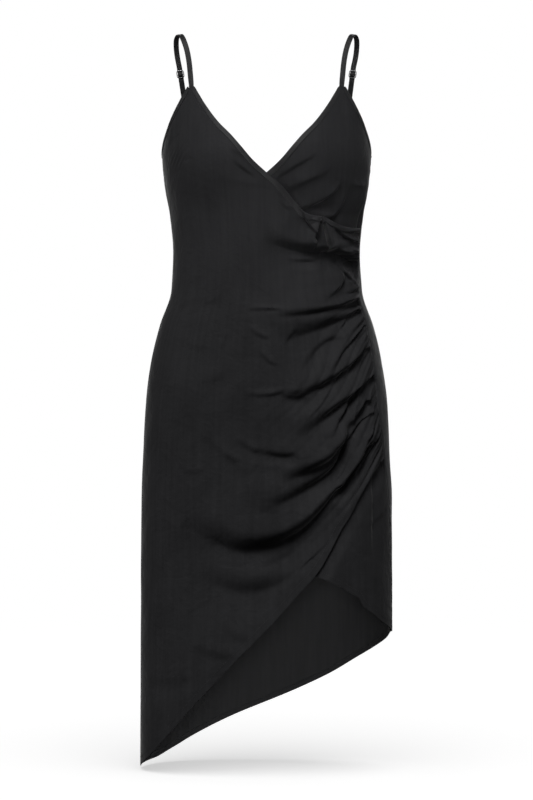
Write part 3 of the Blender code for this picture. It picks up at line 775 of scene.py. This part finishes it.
def stretched(tree, where, across, along):
    """A map drawn in, by a factor across it and one along it."""
    values = [("Vector", where), ("Scale", (across, along, 1.0))]
    return add_node(tree, "ShaderNodeMapping", values).outputs[0]


def remapped(tree, value, **ends):
    """A value moved from one range to another: a straight line between the ends."""
    values = [("Value", value)] + [(key.replace("_", " "), end) for key, end in ends.items()]
    return add_node(tree, "ShaderNodeMapRange", values).outputs[0]


def bump(tree, strength, distance, height, below=None):
    """A bump of a height, on top of another one if there is one below it."""
    values = [("Strength", strength), ("Distance", distance), ("Height", height)]
    values += [("Normal", below)] if below else []
    return add_node(tree, "ShaderNodeBump", values).outputs[0]


def satin(name, colour, roughness, specular, sheen, crinkle):
    """Woven satin: fine warp threads along the cloth's own map, a low uneven gloss, faint streaks
    down the cloth, and two sizes of crinkle on Object coordinates."""
    made, tree, shader, place = new_finish(name, colour, roughness, specular)
    shader.inputs["Sheen Weight"].default_value = sheen
    shader.inputs["Sheen Roughness"].default_value = SHEEN_ROUGHNESS
    weave = noise(tree, stretched(tree, place["UV"], 2600.0, 420.0), 1.0, 1.0, Roughness=0.4)
    streak = noise(tree, stretched(tree, place["UV"], 150.0, 9.0), 1.0, 3.0, Distortion=0.5)
    broad = noise(tree, place["Object"], 11.0, 3.0, Roughness=0.55)
    middle = noise(tree, place["Object"], 30.0, 2.0, Distortion=0.8)
    small = noise(tree, place["Object"], 95.0, 2.0, Distortion=0.4)
    both = [("Factor", 0.5), (2, broad), (3, streak)]
    both = add_node(tree, "ShaderNodeMix", both, data_type="FLOAT").outputs[0]
    light = [min(1.0, part * STREAK_LIGHT) for part in colour]
    dark = [part * STREAK_DARK for part in colour]
    shade = [("Factor", both), (6, (*dark, 1.0)), (7, (*light, 1.0))]
    shade = add_node(tree, "ShaderNodeMix", shade, data_type="RGBA").outputs[2]
    tree.links.new(shade, shader.inputs["Base Color"])
    low, high = roughness - GLOSS_STRAY, roughness + GLOSS_STRAY
    gloss = remapped(tree, broad, From_Min=0.3, From_Max=0.7, To_Min=low, To_Max=high)
    tree.links.new(gloss, shader.inputs["Roughness"])
    rough = bump(tree, 0.25, 0.00008, weave)
    soft = bump(tree, crinkle, 0.0028, middle, rough)
    tree.links.new(bump(tree, crinkle, 0.0014, small, soft), shader.inputs["Normal"])
    return made


def dull_metal(name, colour):
    """Grey metal with fine scratches that vary its gloss."""
    made, tree, shader, place = new_finish(name, colour)
    worn = noise(tree, place["Object"], 900.0, 3.0)
    gloss = remapped(tree, worn, To_Min=0.22, To_Max=0.5)
    tree.links.new(gloss, shader.inputs["Roughness"])
    shader.inputs["Metallic"].default_value = 1.0
    return made


def sewing_thread(name, colour):
    """Twisted thread, matt, with a little variation along it."""
    made, tree, shader, place = new_finish(name, colour, 0.6, 0.3)
    twist = noise(tree, place["Object"], 2200.0, 1.0)
    tree.links.new(bump(tree, 0.4, 0.0001, twist), shader.inputs["Normal"])
    return made


# Each finish: its material, how it is made, the add-on's colour for it, and for a satin its
# roughness, specular level, sheen and crinkle.
FINISHES = {
    "satin": ("black_satin", satin, "satin", 0.6, 0.03, 0.12, 0.5),
    "reverse": ("satin_reverse", satin, "reverse", 0.75, 0.15, 0.1, 0.5),
    "binding": ("satin_binding", satin, "binding", 0.62, 0.22, 0.08, 0.7),
    "strap": ("satin_strap", satin, "binding", 0.62, 0.2, 0.06, 0.5),
    "thread": ("sewing_thread", sewing_thread, "thread"),
    "metal": ("dull_metal", dull_metal, "metal"),
}


def cloth_finish(kind):
    """A finish by name, made on its first use."""
    name, make, colour, *looks = FINISHES[kind]
    colour = tuple(getattr(bpy.context.scene.dress_colours, colour))
    return bpy.data.materials.get(name) or make(name, colour, *looks)


def add_panel(name, panel, top_angles, rows, node, dense=0.15):
    """A panel as a thin closed shell, its map in metres round and down the cloth."""
    angle, height = panel.grid(top_angles, rows, dense)
    outer = panel.lifted(angle, height)
    thickness = bpy.context.scene.dress_sizes.cloth / MM
    inner = outer - thickness * crossed(figure, angle, height)
    points, faces = closed_shell(outer, inner)
    uv = flat_map(unrolled(angle), height)
    piece = add_piece(name, points, faces, "satin", uv, [node])
    piece.data.materials.append(cloth_finish("reverse"))
    rows, columns = angle.shape
    side = np.zeros((rows - 1, 2 * columns), np.int32)
    side[:, columns : 2 * columns - 1] = 1
    index = np.zeros(len(faces), np.int32)
    index[: side.size] = side.ravel()
    piece.data.polygons.foreach_set("material_index", index)
    return piece


def spread(*stops):
    """Angles from stretches of (first, last, count), each starting where the last one ended."""
    parts = [np.linspace(first, last, count, endpoint=False) for first, last, count in stops]
    return np.concatenate([*parts, [stops[-1][1]]])


def trim_angles(angles, half_gap=0.08):
    """The same angles with the first and last drawn in by half the gap at a seam."""
    angles = angles.copy()
    angles[0] += half_gap
    angles[-1] -= half_gap
    return angles


class DRESS_OT_over_front(bpy.types.Operator):
    """Add the over front, which wraps to the gathered right seam"""

    bl_idname = "slip_dress.over_front"
    bl_label = "Over front"

    def execute(self, context):
        stops = (-90, -40, 14), (-40, 8, 40), (8, 24, 24), (24, 50, 56), (50, 80, 50)
        angles = trim_angles(spread(*stops))
        add_panel("panel_over_front", cloth("over"), angles, 269, "front_over", 0.28)
        return {"FINISHED"}


class DRESS_OT_under_front(bpy.types.Operator):
    """Add the under front, seen in the right cup and below the over front"""

    bl_idname = "slip_dress.under_front"
    bl_label = "Under front"

    def execute(self, context):
        angles = trim_angles(spread((-90, 0, 36), (0, 88, 84)))
        add_panel("panel_under_front", cloth("under"), angles, 230, "front_under")
        return {"FINISHED"}


class DRESS_OT_back(bpy.types.Operator):
    """Add the back, cut in one piece with a slanting hem"""

    bl_idname = "slip_dress.back"
    bl_label = "Back"

    def execute(self, context):
        angles = trim_angles(np.linspace(BACK_FIRST, BACK_LAST, 165))
        add_panel("panel_back", cloth("back"), angles, 270, "back")
        return {"FINISHED"}


def binding_ring(width, thickness, cloth_thickness):
    """The binding's folded section as (down from the edge, out from the cloth) pairs: up its
    outer face, over the cloth's raw edge and down inside, with both ends rounded."""
    bulge = np.array([0.25, 0.7, 0.95, 1.0, 0.92, 0.97, 1.0, 0.85, 0.45])
    down = np.array([1.0, 0.985, 0.94, 0.8, 0.72, 0.6, 0.3, 0.08, -0.03]) * width
    outer = np.stack([down, 0.05 + bulge * thickness], -1)
    inner = np.stack([down[::-1], -cloth_thickness - 0.05 - 0.6 * bulge[::-1] * thickness], -1)
    over = np.array([[-0.09 * width, -cloth_thickness / 2]])
    return np.concatenate([outer, over, inner])


def add_binding(name, panel, angles, node, width=BINDING_WIDTH, bulge=1.0, finish="binding"):
    """A folded strip round a panel's top edge, its section carried along the edge."""
    sizes = bpy.context.scene.dress_sizes
    section = binding_ring(width, bulge * sizes.binding / MM, sizes.cloth / MM)
    down = section[:, 0]
    angle, height = (grid.T for grid in beside(panel.top, angles, down[:, None]))
    angle = np.clip(angle, angles[0], angles[-1])
    along = steps(np.stack([unrolled(angles), edge_height(panel.top, angles)], -1))
    pinch = BINDING_PINCH * np.sin(along / BINDING_PINCH_STEP)[:, None]
    pinch = pinch * (section[None, :, 1] > 0)
    off = np.broadcast_to(section[None, :, 1], angle.shape) + pinch
    rings = panel.lifted(angle, height) + off[..., None] * crossed(panel.lifted, angle, height)
    points, faces = closed_tube(rings)
    uv = flat_map(along[:, None], down, 2)
    return add_piece(name, points, faces, finish, uv, [node])


def beside(edge, angles, inside, way=1):
    """Places at a distance inside an edge, square to it on the flat cloth: below a top edge, or
    above a hem, where way is -1."""
    height = edge_height(edge, angles)
    slope = np.gradient(height, unrolled(angles))
    steep = np.hypot(1, slope)
    angle = angles + way * np.degrees(slope / steep * inside / UNROLL_RADIUS)
    return angle, height - way * inside / steep


def stitch_row(path, normals, length, gap, radius):
    """Stitches along a path: each is a short thread whose ends dip into the cloth, its section a
    hexagon that narrows to both ends."""
    run = steps(path)
    count = int(run[-1] / (length + gap))
    starts = np.arange(count) * (length + gap) + gap / 2
    share = np.linspace(0, 1, 5)
    at = starts[:, None] + length * share
    centre = np.stack([np.interp(at, run, path[:, k]) for k in range(3)], -1)
    out = unit(np.stack([np.interp(at, run, normals[:, k]) for k in range(3)], -1))
    ahead = unit(centre[:, -1:] - centre[:, :1]) + 0 * centre
    aside = unit(np.cross(ahead, out))
    swell = np.sqrt(np.clip(1 - (2 * share - 1) ** 2, 0.04, 1))
    centre = centre + (out * (swell[None, :, None] - 0.75) * 1.2 * radius)
    turn = np.radians(np.arange(0, 360, 60))
    ring = np.cos(turn)[:, None] * aside[:, :, None] + np.sin(turn)[:, None] * out[:, :, None]
    rings = centre[:, :, None] + radius * swell[None, :, None, None] * ring
    rings = rings.reshape(-1, 6, 3)
    index = np.arange(len(rings) * 6).reshape(count, 5, 6)
    after = np.roll(index, -1, axis=2)
    sides = np.stack([index[:, :-1], after[:, :-1], after[:, 1:], index[:, 1:]], -1).reshape(-1, 4)
    caps = [index[:, 0, ::-1].reshape(-1, 6), index[:, -1].reshape(-1, 6)]
    return rings.reshape(-1, 3), sides.tolist() + np.concatenate(caps).tolist()


def edge_line(panel, edge, angles, inside, off):
    """A line on a panel at a distance inside one of its edges, with its normals."""
    angle, height = beside(edge, angles, inside, 1 if edge is panel.top else -1)
    normal = crossed(panel.lifted, angle, height)
    return panel.lifted(angle, height) + off * normal, normal * (1 if off > 0 else -1)


def hem_strip(panel, edge, angles, width, low, high):
    """A turned hem: a thin strip inside the cloth, from its edge up."""
    share = np.array([0.0, 0.1, 0.3, 0.6, 0.85, 0.97, 1.0])[:, None]
    proud = np.array([0.4, 0.85, 1.0, 1.0, 1.0, 0.8, 0.1])[:, None]
    angle, height = beside(edge, angles, share * width, -1)
    angle = np.clip(angle, angles[0], angles[-1])
    normal = crossed(panel.lifted, angle, height)
    base = panel.lifted(angle, height)
    depth = low + (high - low) * proud
    return closed_shell(base - low * normal, base - depth[..., None] * normal)


class DRESS_OT_side_seams(bpy.types.Operator):
    """Add the seam allowances that close the two side seams from inside"""

    bl_idname = "slip_dress.side_seams"
    bl_label = "Side seams"

    def execute(self, context):
        across = np.linspace(-SEAM_ALLOWANCE, SEAM_ALLOWANCE, 9)
        for name, seam, top, low, depth in (
            ("seam_allowance_right", right_seam, -186, -885, 2.6),
            ("seam_allowance_left", left_seam_behind, -186, -1080, 1.7),
        ):
            height = np.linspace(top, low, 260)[:, None] + 0 * across
            angle = seam(height) + np.degrees(across / UNROLL_RADIUS)
            normal = crossed(figure, angle, height)
            wave = 0.25 * np.sin(height / 5.3) * np.abs(across / SEAM_ALLOWANCE)
            outer = figure(angle, height) - (depth - wave)[..., None] * normal
            points, faces = closed_shell(outer, outer - SEAM_THICKNESS * normal)
            add_piece(name, points, faces, "reverse", flat_map(across, height))
        return {"FINISHED"}


class DRESS_OT_bindings(bpy.types.Operator):
    """Add the folded bindings along the necklines, armholes and back"""

    bl_idname = "slip_dress.bindings"
    bl_label = "Bindings"

    def execute(self, context):
        over, under, back = panels()
        rolled = (ROLLED_WIDTH, ROLLED_BULGE, "satin")
        for name, panel, stops, node, *looks in (
            ("edge_neck_over", over, (-44.8, 24, 130), "binding_neck_over"),
            ("edge_rolled_over", over, (23, 79.9, 110), "binding_neck_over", *rolled),
            ("edge_armhole_left", over, (-89.8, -49.2, 60), "binding_armhole_l"),
            ("edge_neck_under", under, (-89.8, 44.8, 150), "binding_neck_under"),
            ("edge_armhole_right", under, (49.2, 87.8, 60), "binding_armhole_r"),
            ("edge_back", back, (88.2, 269.8, 170), "binding_back"),
        ):
            add_binding(name, panel, spread(stops), node, *looks)
        return {"FINISHED"}


class DRESS_OT_hems(bpy.types.Operator):
    """Add the turned hems inside the three lower edges"""

    bl_idname = "slip_dress.hems"
    bl_label = "Hems"

    def execute(self, context):
        sizes = context.scene.dress_sizes
        low = sizes.cloth / MM + HEM_CLEAR
        high = low + HEM_THICKNESS
        width = sizes.hem / MM
        for name, panel, edge, stops, finish in (
            ("hem_over_front", cloth("over"), OVER_HEM, (-89.5, 69.5, 260), "satin"),
            ("hem_under_front", cloth("under"), UNDER_HEM, (-89.5, 83.5, 200), "satin"),
            ("hem_back", cloth("back"), BACK_HEM, (84.5, 269.5, 240), "reverse"),
        ):
            points, faces = hem_strip(panel, edge, spread(stops), width, low, high)
            add_piece(name, points, faces, finish)
        return {"FINISHED"}


class DRESS_OT_stitching(bpy.types.Operator):
    """Add the rows of stitches on the bindings and hems"""

    bl_idname = "slip_dress.stitching"
    bl_label = "Stitching"

    def execute(self, context):
        sizes = context.scene.dress_sizes
        stitch = sizes.stitch / MM
        proud = sizes.binding / MM + STITCH_PROUD
        over, under, back = panels()
        inner = sizes.cloth / MM + 0.9
        for name, panel, edge, stops, inside, off in (
            ("stitches_neck_over", over, OVER_TOP, (-44, 23, 300), 6.0, proud),
            ("stitches_armhole_left", over, OVER_TOP, (-89, -50, 200), 6.0, proud),
            ("stitches_neck_under", under, UNDER_TOP, (-4, 44, 300), 6.0, proud),
            ("stitches_armhole_right", under, UNDER_TOP, (50, 87, 200), 6.0, proud),
            ("stitches_back_top", back, BACK_TOP, (89, 269, 400), 6.0, proud),
            ("stitches_hem_over", over, OVER_HEM, (-89, 69, 600), 9.0, 0.1),
            ("stitches_hem_under", under, UNDER_HEM, (20, 83, 400), 8.0, 0.1),
            ("stitches_hem_back", back, BACK_HEM, (85, 269, 600), 6.4, 0.1),
            ("stitches_hem_back_inside", back, BACK_HEM, (85, 269, 600), 6.4, -inner),
        ):
            path, normals = edge_line(panel, edge, spread(stops), inside, off)
            points, faces = stitch_row(path, normals, stitch, STITCH_GAP, THREAD_RADIUS)
            add_piece(name, points, faces, "thread")
        return {"FINISHED"}


def strap_axes(back_edge):
    """The slider's place and the directions beside it, down it and off it."""
    slider = np.array(SLIDER_PLACE)
    run = np.linalg.norm(back_edge - slider)
    down = (back_edge - slider) / run
    sideways = unit(np.array([1.0, 0.0, 0.0]) - down * down[0])
    return slider, run, np.stack([sideways, down, np.cross(down, sideways)])


def sewn_end(panel, angle, width, mirror):
    """Where a strap leaves a panel's top edge and where it ends behind the cloth."""
    inside = -(WALL + 1.5 * GAP + STRAP_THICKNESS / 2)
    at = np.array([angle, angle + width])
    height = edge_height(panel.top, at)
    run = unrolled(at)
    steep = np.hypot(1, np.gradient(height, run)).clip(1, 2.2)
    rows = np.stack([height, height - BINDING_WIDTH * steep])
    both = figure(at + 0 * rows, rows) + inside * crossed(figure, at + 0 * rows, rows)
    both = both * mirror
    edge, lower = both.mean(axis=1)
    hint = both[0, 1] - both[0, 0]
    hint = hint * np.sign(hint[0]) / np.linalg.norm(hint)
    sewn = edge + (lower - edge) * STRAP_SEWN_IN / np.linalg.norm(lower - edge)
    return edge, sewn, hint


def flat_band(route, hints, mirror, each=6):
    """A flat sewn strap: a rounded oblong section, x as cos^0.45 and y as sin^0.75, carried along
    a smooth route with its width along the hints, square to the route."""
    route = smooth_route(route, each)
    hints = smooth_route(hints, each)
    ahead = unit(np.gradient(route, axis=0))
    sideways = unit(hints - ahead * (ahead * hints).sum(axis=-1, keepdims=True))
    through = np.cross(sideways, ahead)
    turn = np.linspace(0, 2 * math.pi, 20, endpoint=False)
    cosine, sine = np.cos(turn), np.sin(turn)
    x = np.sign(cosine) * np.abs(cosine) ** 0.45 * STRAP_WIDTH / 2
    y = np.sign(sine) * np.abs(sine) ** 0.75 * STRAP_THICKNESS / 2
    rings = route[:, None] + x[:, None] * sideways[:, None] + y[:, None] * through[:, None]
    return *closed_tube(rings * mirror), flat_map(x, steps(route)[:, None], 2)


def round_wire(half, place, axes, mirror, bar):
    """A loop of round wire: its path is a square with round corners, |x|^4 + |y|^4 = 1, and a
    slider has a straight bar across its middle."""
    turn = np.linspace(0, 2 * math.pi, 64, endpoint=False)
    sine, cosine = np.sin(turn), np.cos(turn)
    loop_x, loop_y = (
        size * np.sign(way) * np.abs(way) ** 0.5 for size, way in zip(half, (cosine, sine))
    )
    loop = np.stack([loop_x, loop_y, 0 * turn], -1)
    ahead = unit(np.roll(loop, -1, 0) - np.roll(loop, 1, 0))
    front = np.array([0.0, 0.0, 1.0])
    aside = np.cross(ahead, front)
    around = np.radians(np.arange(0, 360, 30))
    ring = np.cos(around)[None, :, None] * aside[:, None] + np.sin(around)[None, :, None] * front
    ring = loop[:, None] + WIRE_RADIUS * ring
    index = np.arange(ring[..., 0].size).reshape(ring.shape[:2])
    after = np.roll(index, -1, 0)
    faces = np.stack([index, after, np.roll(after, -1, 1), np.roll(index, -1, 1)], -1)
    points, faces = ring.reshape(-1, 3), faces.reshape(-1, 4).tolist()
    if bar:
        across = np.linspace(-half[0], half[0], 12)
        thin = 0.9 * WIRE_RADIUS
        rings = across[:, None], thin * np.cos(around), thin * np.sin(around)
        bar_points, bar_faces = closed_tube(np.stack(np.broadcast_arrays(*rings), -1))
        bar_faces = outward_faces(bar_points, bar_faces)
        faces = faces + [[i + len(points) for i in face] for face in bar_faces]
        points = np.concatenate([points, bar_points])
    return (points @ axes + place) * mirror, faces


class DRESS_OT_straps(bpy.types.Operator):
    """Add the two shoulder straps, their back tabs, sliders and rings"""

    bl_idname = "slip_dress.straps"
    bl_label = "Straps"

    def execute(self, context):
        over, under, back = panels()
        for letter, side, cup, column in (
            ("l", -1, (over, -49.0, 4.0), 19),
            ("r", 1, (under, 45.0, 4.0), 6),
        ):
            mirror = np.array([side, 1.0, 1.0])
            cup_edge, cup_sewn, cup_hint = sewn_end(*cup, mirror)
            at = BACK_FIRST + column * BACK_COLUMN
            back_edge, back_sewn, back_hint = sewn_end(back, at, BACK_COLUMN, mirror)
            slider, run, axes = strap_axes(back_edge)
            ring = back_edge - axes[1] * RING_ABOVE_BACK

            def placed(pairs, origin):
                return [origin + along * axes[1] + off * axes[2] for along, off in pairs]

            over_shoulder = np.stack([STRAP_ROUTE[name] for name in "xyz"], -1)
            way = (PAST_SLIDER, (run - RING_ABOVE_BACK) / 2)
            first = placed([*WEAVE, *((along, LAYER_OFF / 2) for along in way)], slider)
            round_ring = placed(ROUND_BAR, ring - axes[1] * RING_HALF[1])
            second = [(along, -LAYER_OFF / 2) for along in way[::-1]]
            second = placed([*second, *WEAVE_END], slider)
            route = [cup_sewn, cup_edge, *over_shoulder, *first, *round_ring, *second]
            hints = [cup_hint, cup_hint] + [axes[0]] * (len(route) - 2)
            points, faces, uv = flat_band(route, hints, mirror)
            add_piece(
                "shoulder_strap_" + letter, points, faces, "strap", uv, ["strap_" + letter]
            )
            hook = [(-along, off) for along, off in ROUND_BAR]
            hook = placed(hook, ring + axes[1] * RING_HALF[1])
            hints = [axes[0]] * len(hook) + [back_hint, back_hint]
            points, faces, uv = flat_band([*hook, back_edge, back_sewn], hints, mirror)
            add_piece(
                "ring_tab_" + letter, points, faces, "strap", uv, ["back_tab_" + letter]
            )
            for kind, half, place in (
                ("slider_", SLIDER_HALF, slider),
                ("ring_", RING_HALF, ring),
            ):
                points, faces = round_wire(half, place, axes, mirror, kind == "slider_")
                name = kind + letter
                add_piece("strap_" + name, points, faces, "metal", None, [name])
        return {"FINISHED"}


def add_floor(scene):
    """A round floor that glows softly and fades to plain white with the distance."""
    around = 96
    turn = np.linspace(0, 2 * math.pi, around, endpoint=False)
    radius = np.array([0.02, 0.6, 2.0, 6.0, 20.0, 60.0])
    rings = radius[:, None, None] * np.stack([np.cos(turn), np.sin(turn)], -1)
    flat = np.concatenate([rings, np.full((*rings.shape[:2], 1), FLOOR_LEVEL)], -1)
    index = np.arange(len(radius) * around).reshape(-1, around)
    after = np.roll(index, -1, axis=1)
    faces = np.stack([index[:-1], index[1:], after[1:], after[:-1]], -1).reshape(-1, 4)
    mesh = bpy.data.meshes.new("floor")
    mesh.from_pydata(flat.reshape(-1, 3).tolist(), [], faces.tolist() + [index[0].tolist()])
    floor = bpy.data.objects.new("floor", mesh)
    scene.collection.objects.link(floor)
    made, tree, shader, place = new_finish("pale_floor", scene.dress_colours.floor, 0.9, 0.1)
    shader.inputs["Emission Color"].default_value = WHITE
    shader.inputs["Emission Strength"].default_value = FLOOR_GLOW
    away = [(0, place["Object"])]
    away = add_node(tree, "ShaderNodeVectorMath", away, operation="LENGTH").outputs["Value"]
    fade = [("Value", away), ("From Min", 1.3), ("From Max", 3.0)]
    fade = add_node(tree, "ShaderNodeMapRange", fade, interpolation_type="SMOOTHSTEP").outputs[0]
    white = add_node(tree, "ShaderNodeEmission", [("Color", WHITE), ("Strength", 1.0)]).outputs[0]
    mixed = [(0, fade), (1, shader.outputs[0]), (2, white)]
    mixed = add_node(tree, "ShaderNodeMixShader", mixed).outputs[0]
    tree.links.new(mixed, tree.nodes["Material Output"].inputs["Surface"])
    mesh.materials.append(made)
    floor.visible_diffuse = False
    floor.visible_glossy = False


def add_world(scene):
    """A white backdrop to the camera, which lights the dress only faintly."""
    world = bpy.data.worlds.new("studio")
    world.use_nodes = True
    tree = world.node_tree
    background = tree.nodes["Background"]
    seen = add_node(tree, "ShaderNodeLightPath").outputs["Is Camera Ray"]
    background.inputs["Color"].default_value = WHITE
    strength = remapped(tree, seen, To_Min=0.012, To_Max=1.0)
    tree.links.new(strength, background.inputs["Strength"])
    scene.world = world


def add_lamp(scene, name, kind, lit, **settings):
    """A light that reaches only the pieces in a collection."""
    light = bpy.data.lights.new(name, kind)
    for key, value in settings.items():
        setattr(light, key, value)
    lamp = bpy.data.objects.new(name, light)
    lamp.light_linking.receiver_collection = lit
    scene.collection.objects.link(lamp)
    return lamp


def add_lights(scene):
    """The lights, each on the pieces of one collection. A sun has its strength, its width, and
    its tilt and turn in degrees; a softbox has its place, its size in metres and its watts, and
    faces the middle of the dress."""
    names = ("lit_dress", "lit_inside", "lit_straps", "lit_floor")
    lit = {name: bpy.data.collections.new(name) for name in names}
    for item in list(scene.objects):
        if item.type == "MESH" and item.visible_camera:
            lit["lit_floor" if item.name == "floor" else "lit_dress"].objects.link(item)
    for on, pieces in (
        ("lit_inside", "panel_back hem_back seam_allowance_left stitches_hem_back_inside"),
        ("lit_straps", "shoulder_strap_l shoulder_strap_r"),
    ):
        for name in pieces.split():
            lit[on].objects.link(bpy.data.objects[name])
    for name, strength, width, tilt, turned, on in (
        ("key", 3.3, 26.0, 41.0, -12.0, "lit_dress"),
        ("floor_sun", 1.8, 70.0, 19.0, 4.0, "lit_floor"),
    ):
        lamp = add_lamp(scene, name, "SUN", lit[on], energy=strength, angle=math.radians(width))
        lamp.rotation_euler = (math.radians(tilt), 0.0, math.radians(turned))
    spot = {"energy": 54.0, "spot_size": math.radians(9.0), "spot_blend": 1.0}
    for across in (-0.1, 0.01, 0.11):
        lamp = add_lamp(scene, "bust_spot", "SPOT", lit["lit_dress"], shadow_soft_size=0.15, **spot)
        lamp.location = (across, -1.3, -0.8)
        lamp.rotation_euler = (math.radians(115.8), 0.0, 0.0)
    for name, place, wide, high, power, on in (
        ("front_softbox", (0.0, -3.6, 0.0), 1.6, 1.2, 6.0, "lit_dress"),
        ("left_softbox", (-3.0, -0.7, 0.5), 1.2, 1.6, 21.0, "lit_dress"),
        ("right_softbox", (3.0, -0.7, 0.5), 1.2, 1.6, 21.0, "lit_dress"),
        ("back_softbox", (0.0, 3.4, 0.8), 2.4, 2.2, 70.0, "lit_dress"),
        ("inside_softbox", (0.0, -3.2, -0.9), 1.6, 0.6, 60.0, "lit_inside"),
        ("strap_softbox", (0.0, -1.5, -1.0), 1.0, 0.4, 17.0, "lit_straps"),
    ):
        sizes = {"shape": "RECTANGLE", "size": wide, "size_y": high}
        lamp = add_lamp(scene, name, "AREA", lit[on], energy=power, **sizes)
        aim = unit(np.array(LIGHT_AIM) - np.array(place))
        lamp.location = place
        lamp.rotation_euler = (math.acos(-aim[2]), 0.0, math.atan2(-aim[0], aim[1]))
        lamp.visible_camera = False


class DRESS_OT_stage(bpy.types.Operator):
    """Add the pale floor, the soft lights and the camera"""

    bl_idname = "slip_dress.stage"
    bl_label = "Studio"

    def execute(self, context):
        scene = context.scene
        add_floor(scene)
        add_world(scene)
        add_lights(scene)
        lens = bpy.data.cameras.new("camera")
        lens.lens = CAMERA_LENS
        lens.sensor_width = 36.0
        lens.clip_start = 0.1
        lens.clip_end = 100.0
        camera = bpy.data.objects.new("camera", lens)
        scene.collection.objects.link(camera)
        camera.location = CAMERA_PLACE
        camera.rotation_euler = (math.pi / 2, 0.0, 0.0)
        scene.camera = camera
        scene.view_settings.view_transform = "Standard"
        return {"FINISHED"}


class DRESS_PT_sidebar(bpy.types.Panel):
    """Lists the pieces, sizes and colours of the dress"""

    bl_idname = "DRESS_PT_sidebar"
    bl_label = "Slip dress"
    bl_space_type = "VIEW_3D"
    bl_region_type = "UI"
    bl_category = "Dress"

    def draw(self, context):
        column = self.layout.column(align=True)
        for step in STEPS:
            column.operator(step.bl_idname)
        for group in (context.scene.dress_sizes, context.scene.dress_colours):
            column = self.layout.column()
            for name in group.__annotations__:
                column.prop(group, name)


STEPS = (
    DRESS_OT_over_front,
    DRESS_OT_under_front,
    DRESS_OT_back,
    DRESS_OT_side_seams,
    DRESS_OT_bindings,
    DRESS_OT_hems,
    DRESS_OT_stitching,
    DRESS_OT_straps,
    DRESS_OT_stage,
)
CLASSES = (DressSizes, DressColours, *STEPS, DRESS_PT_sidebar)


def register():
    for kind in CLASSES:
        bpy.utils.register_class(kind)
    bpy.types.Scene.dress_sizes = PointerProperty(type=DressSizes)
    bpy.types.Scene.dress_colours = PointerProperty(type=DressColours)


def unregister():
    del bpy.types.Scene.dress_colours
    del bpy.types.Scene.dress_sizes
    for kind in reversed(CLASSES):
        bpy.utils.unregister_class(kind)


def main():
    register()
    for step in STEPS:
        group, name = step.bl_idname.split(".")
        getattr(getattr(bpy.ops, group), name)()


if __name__ == "__main__":
    main()
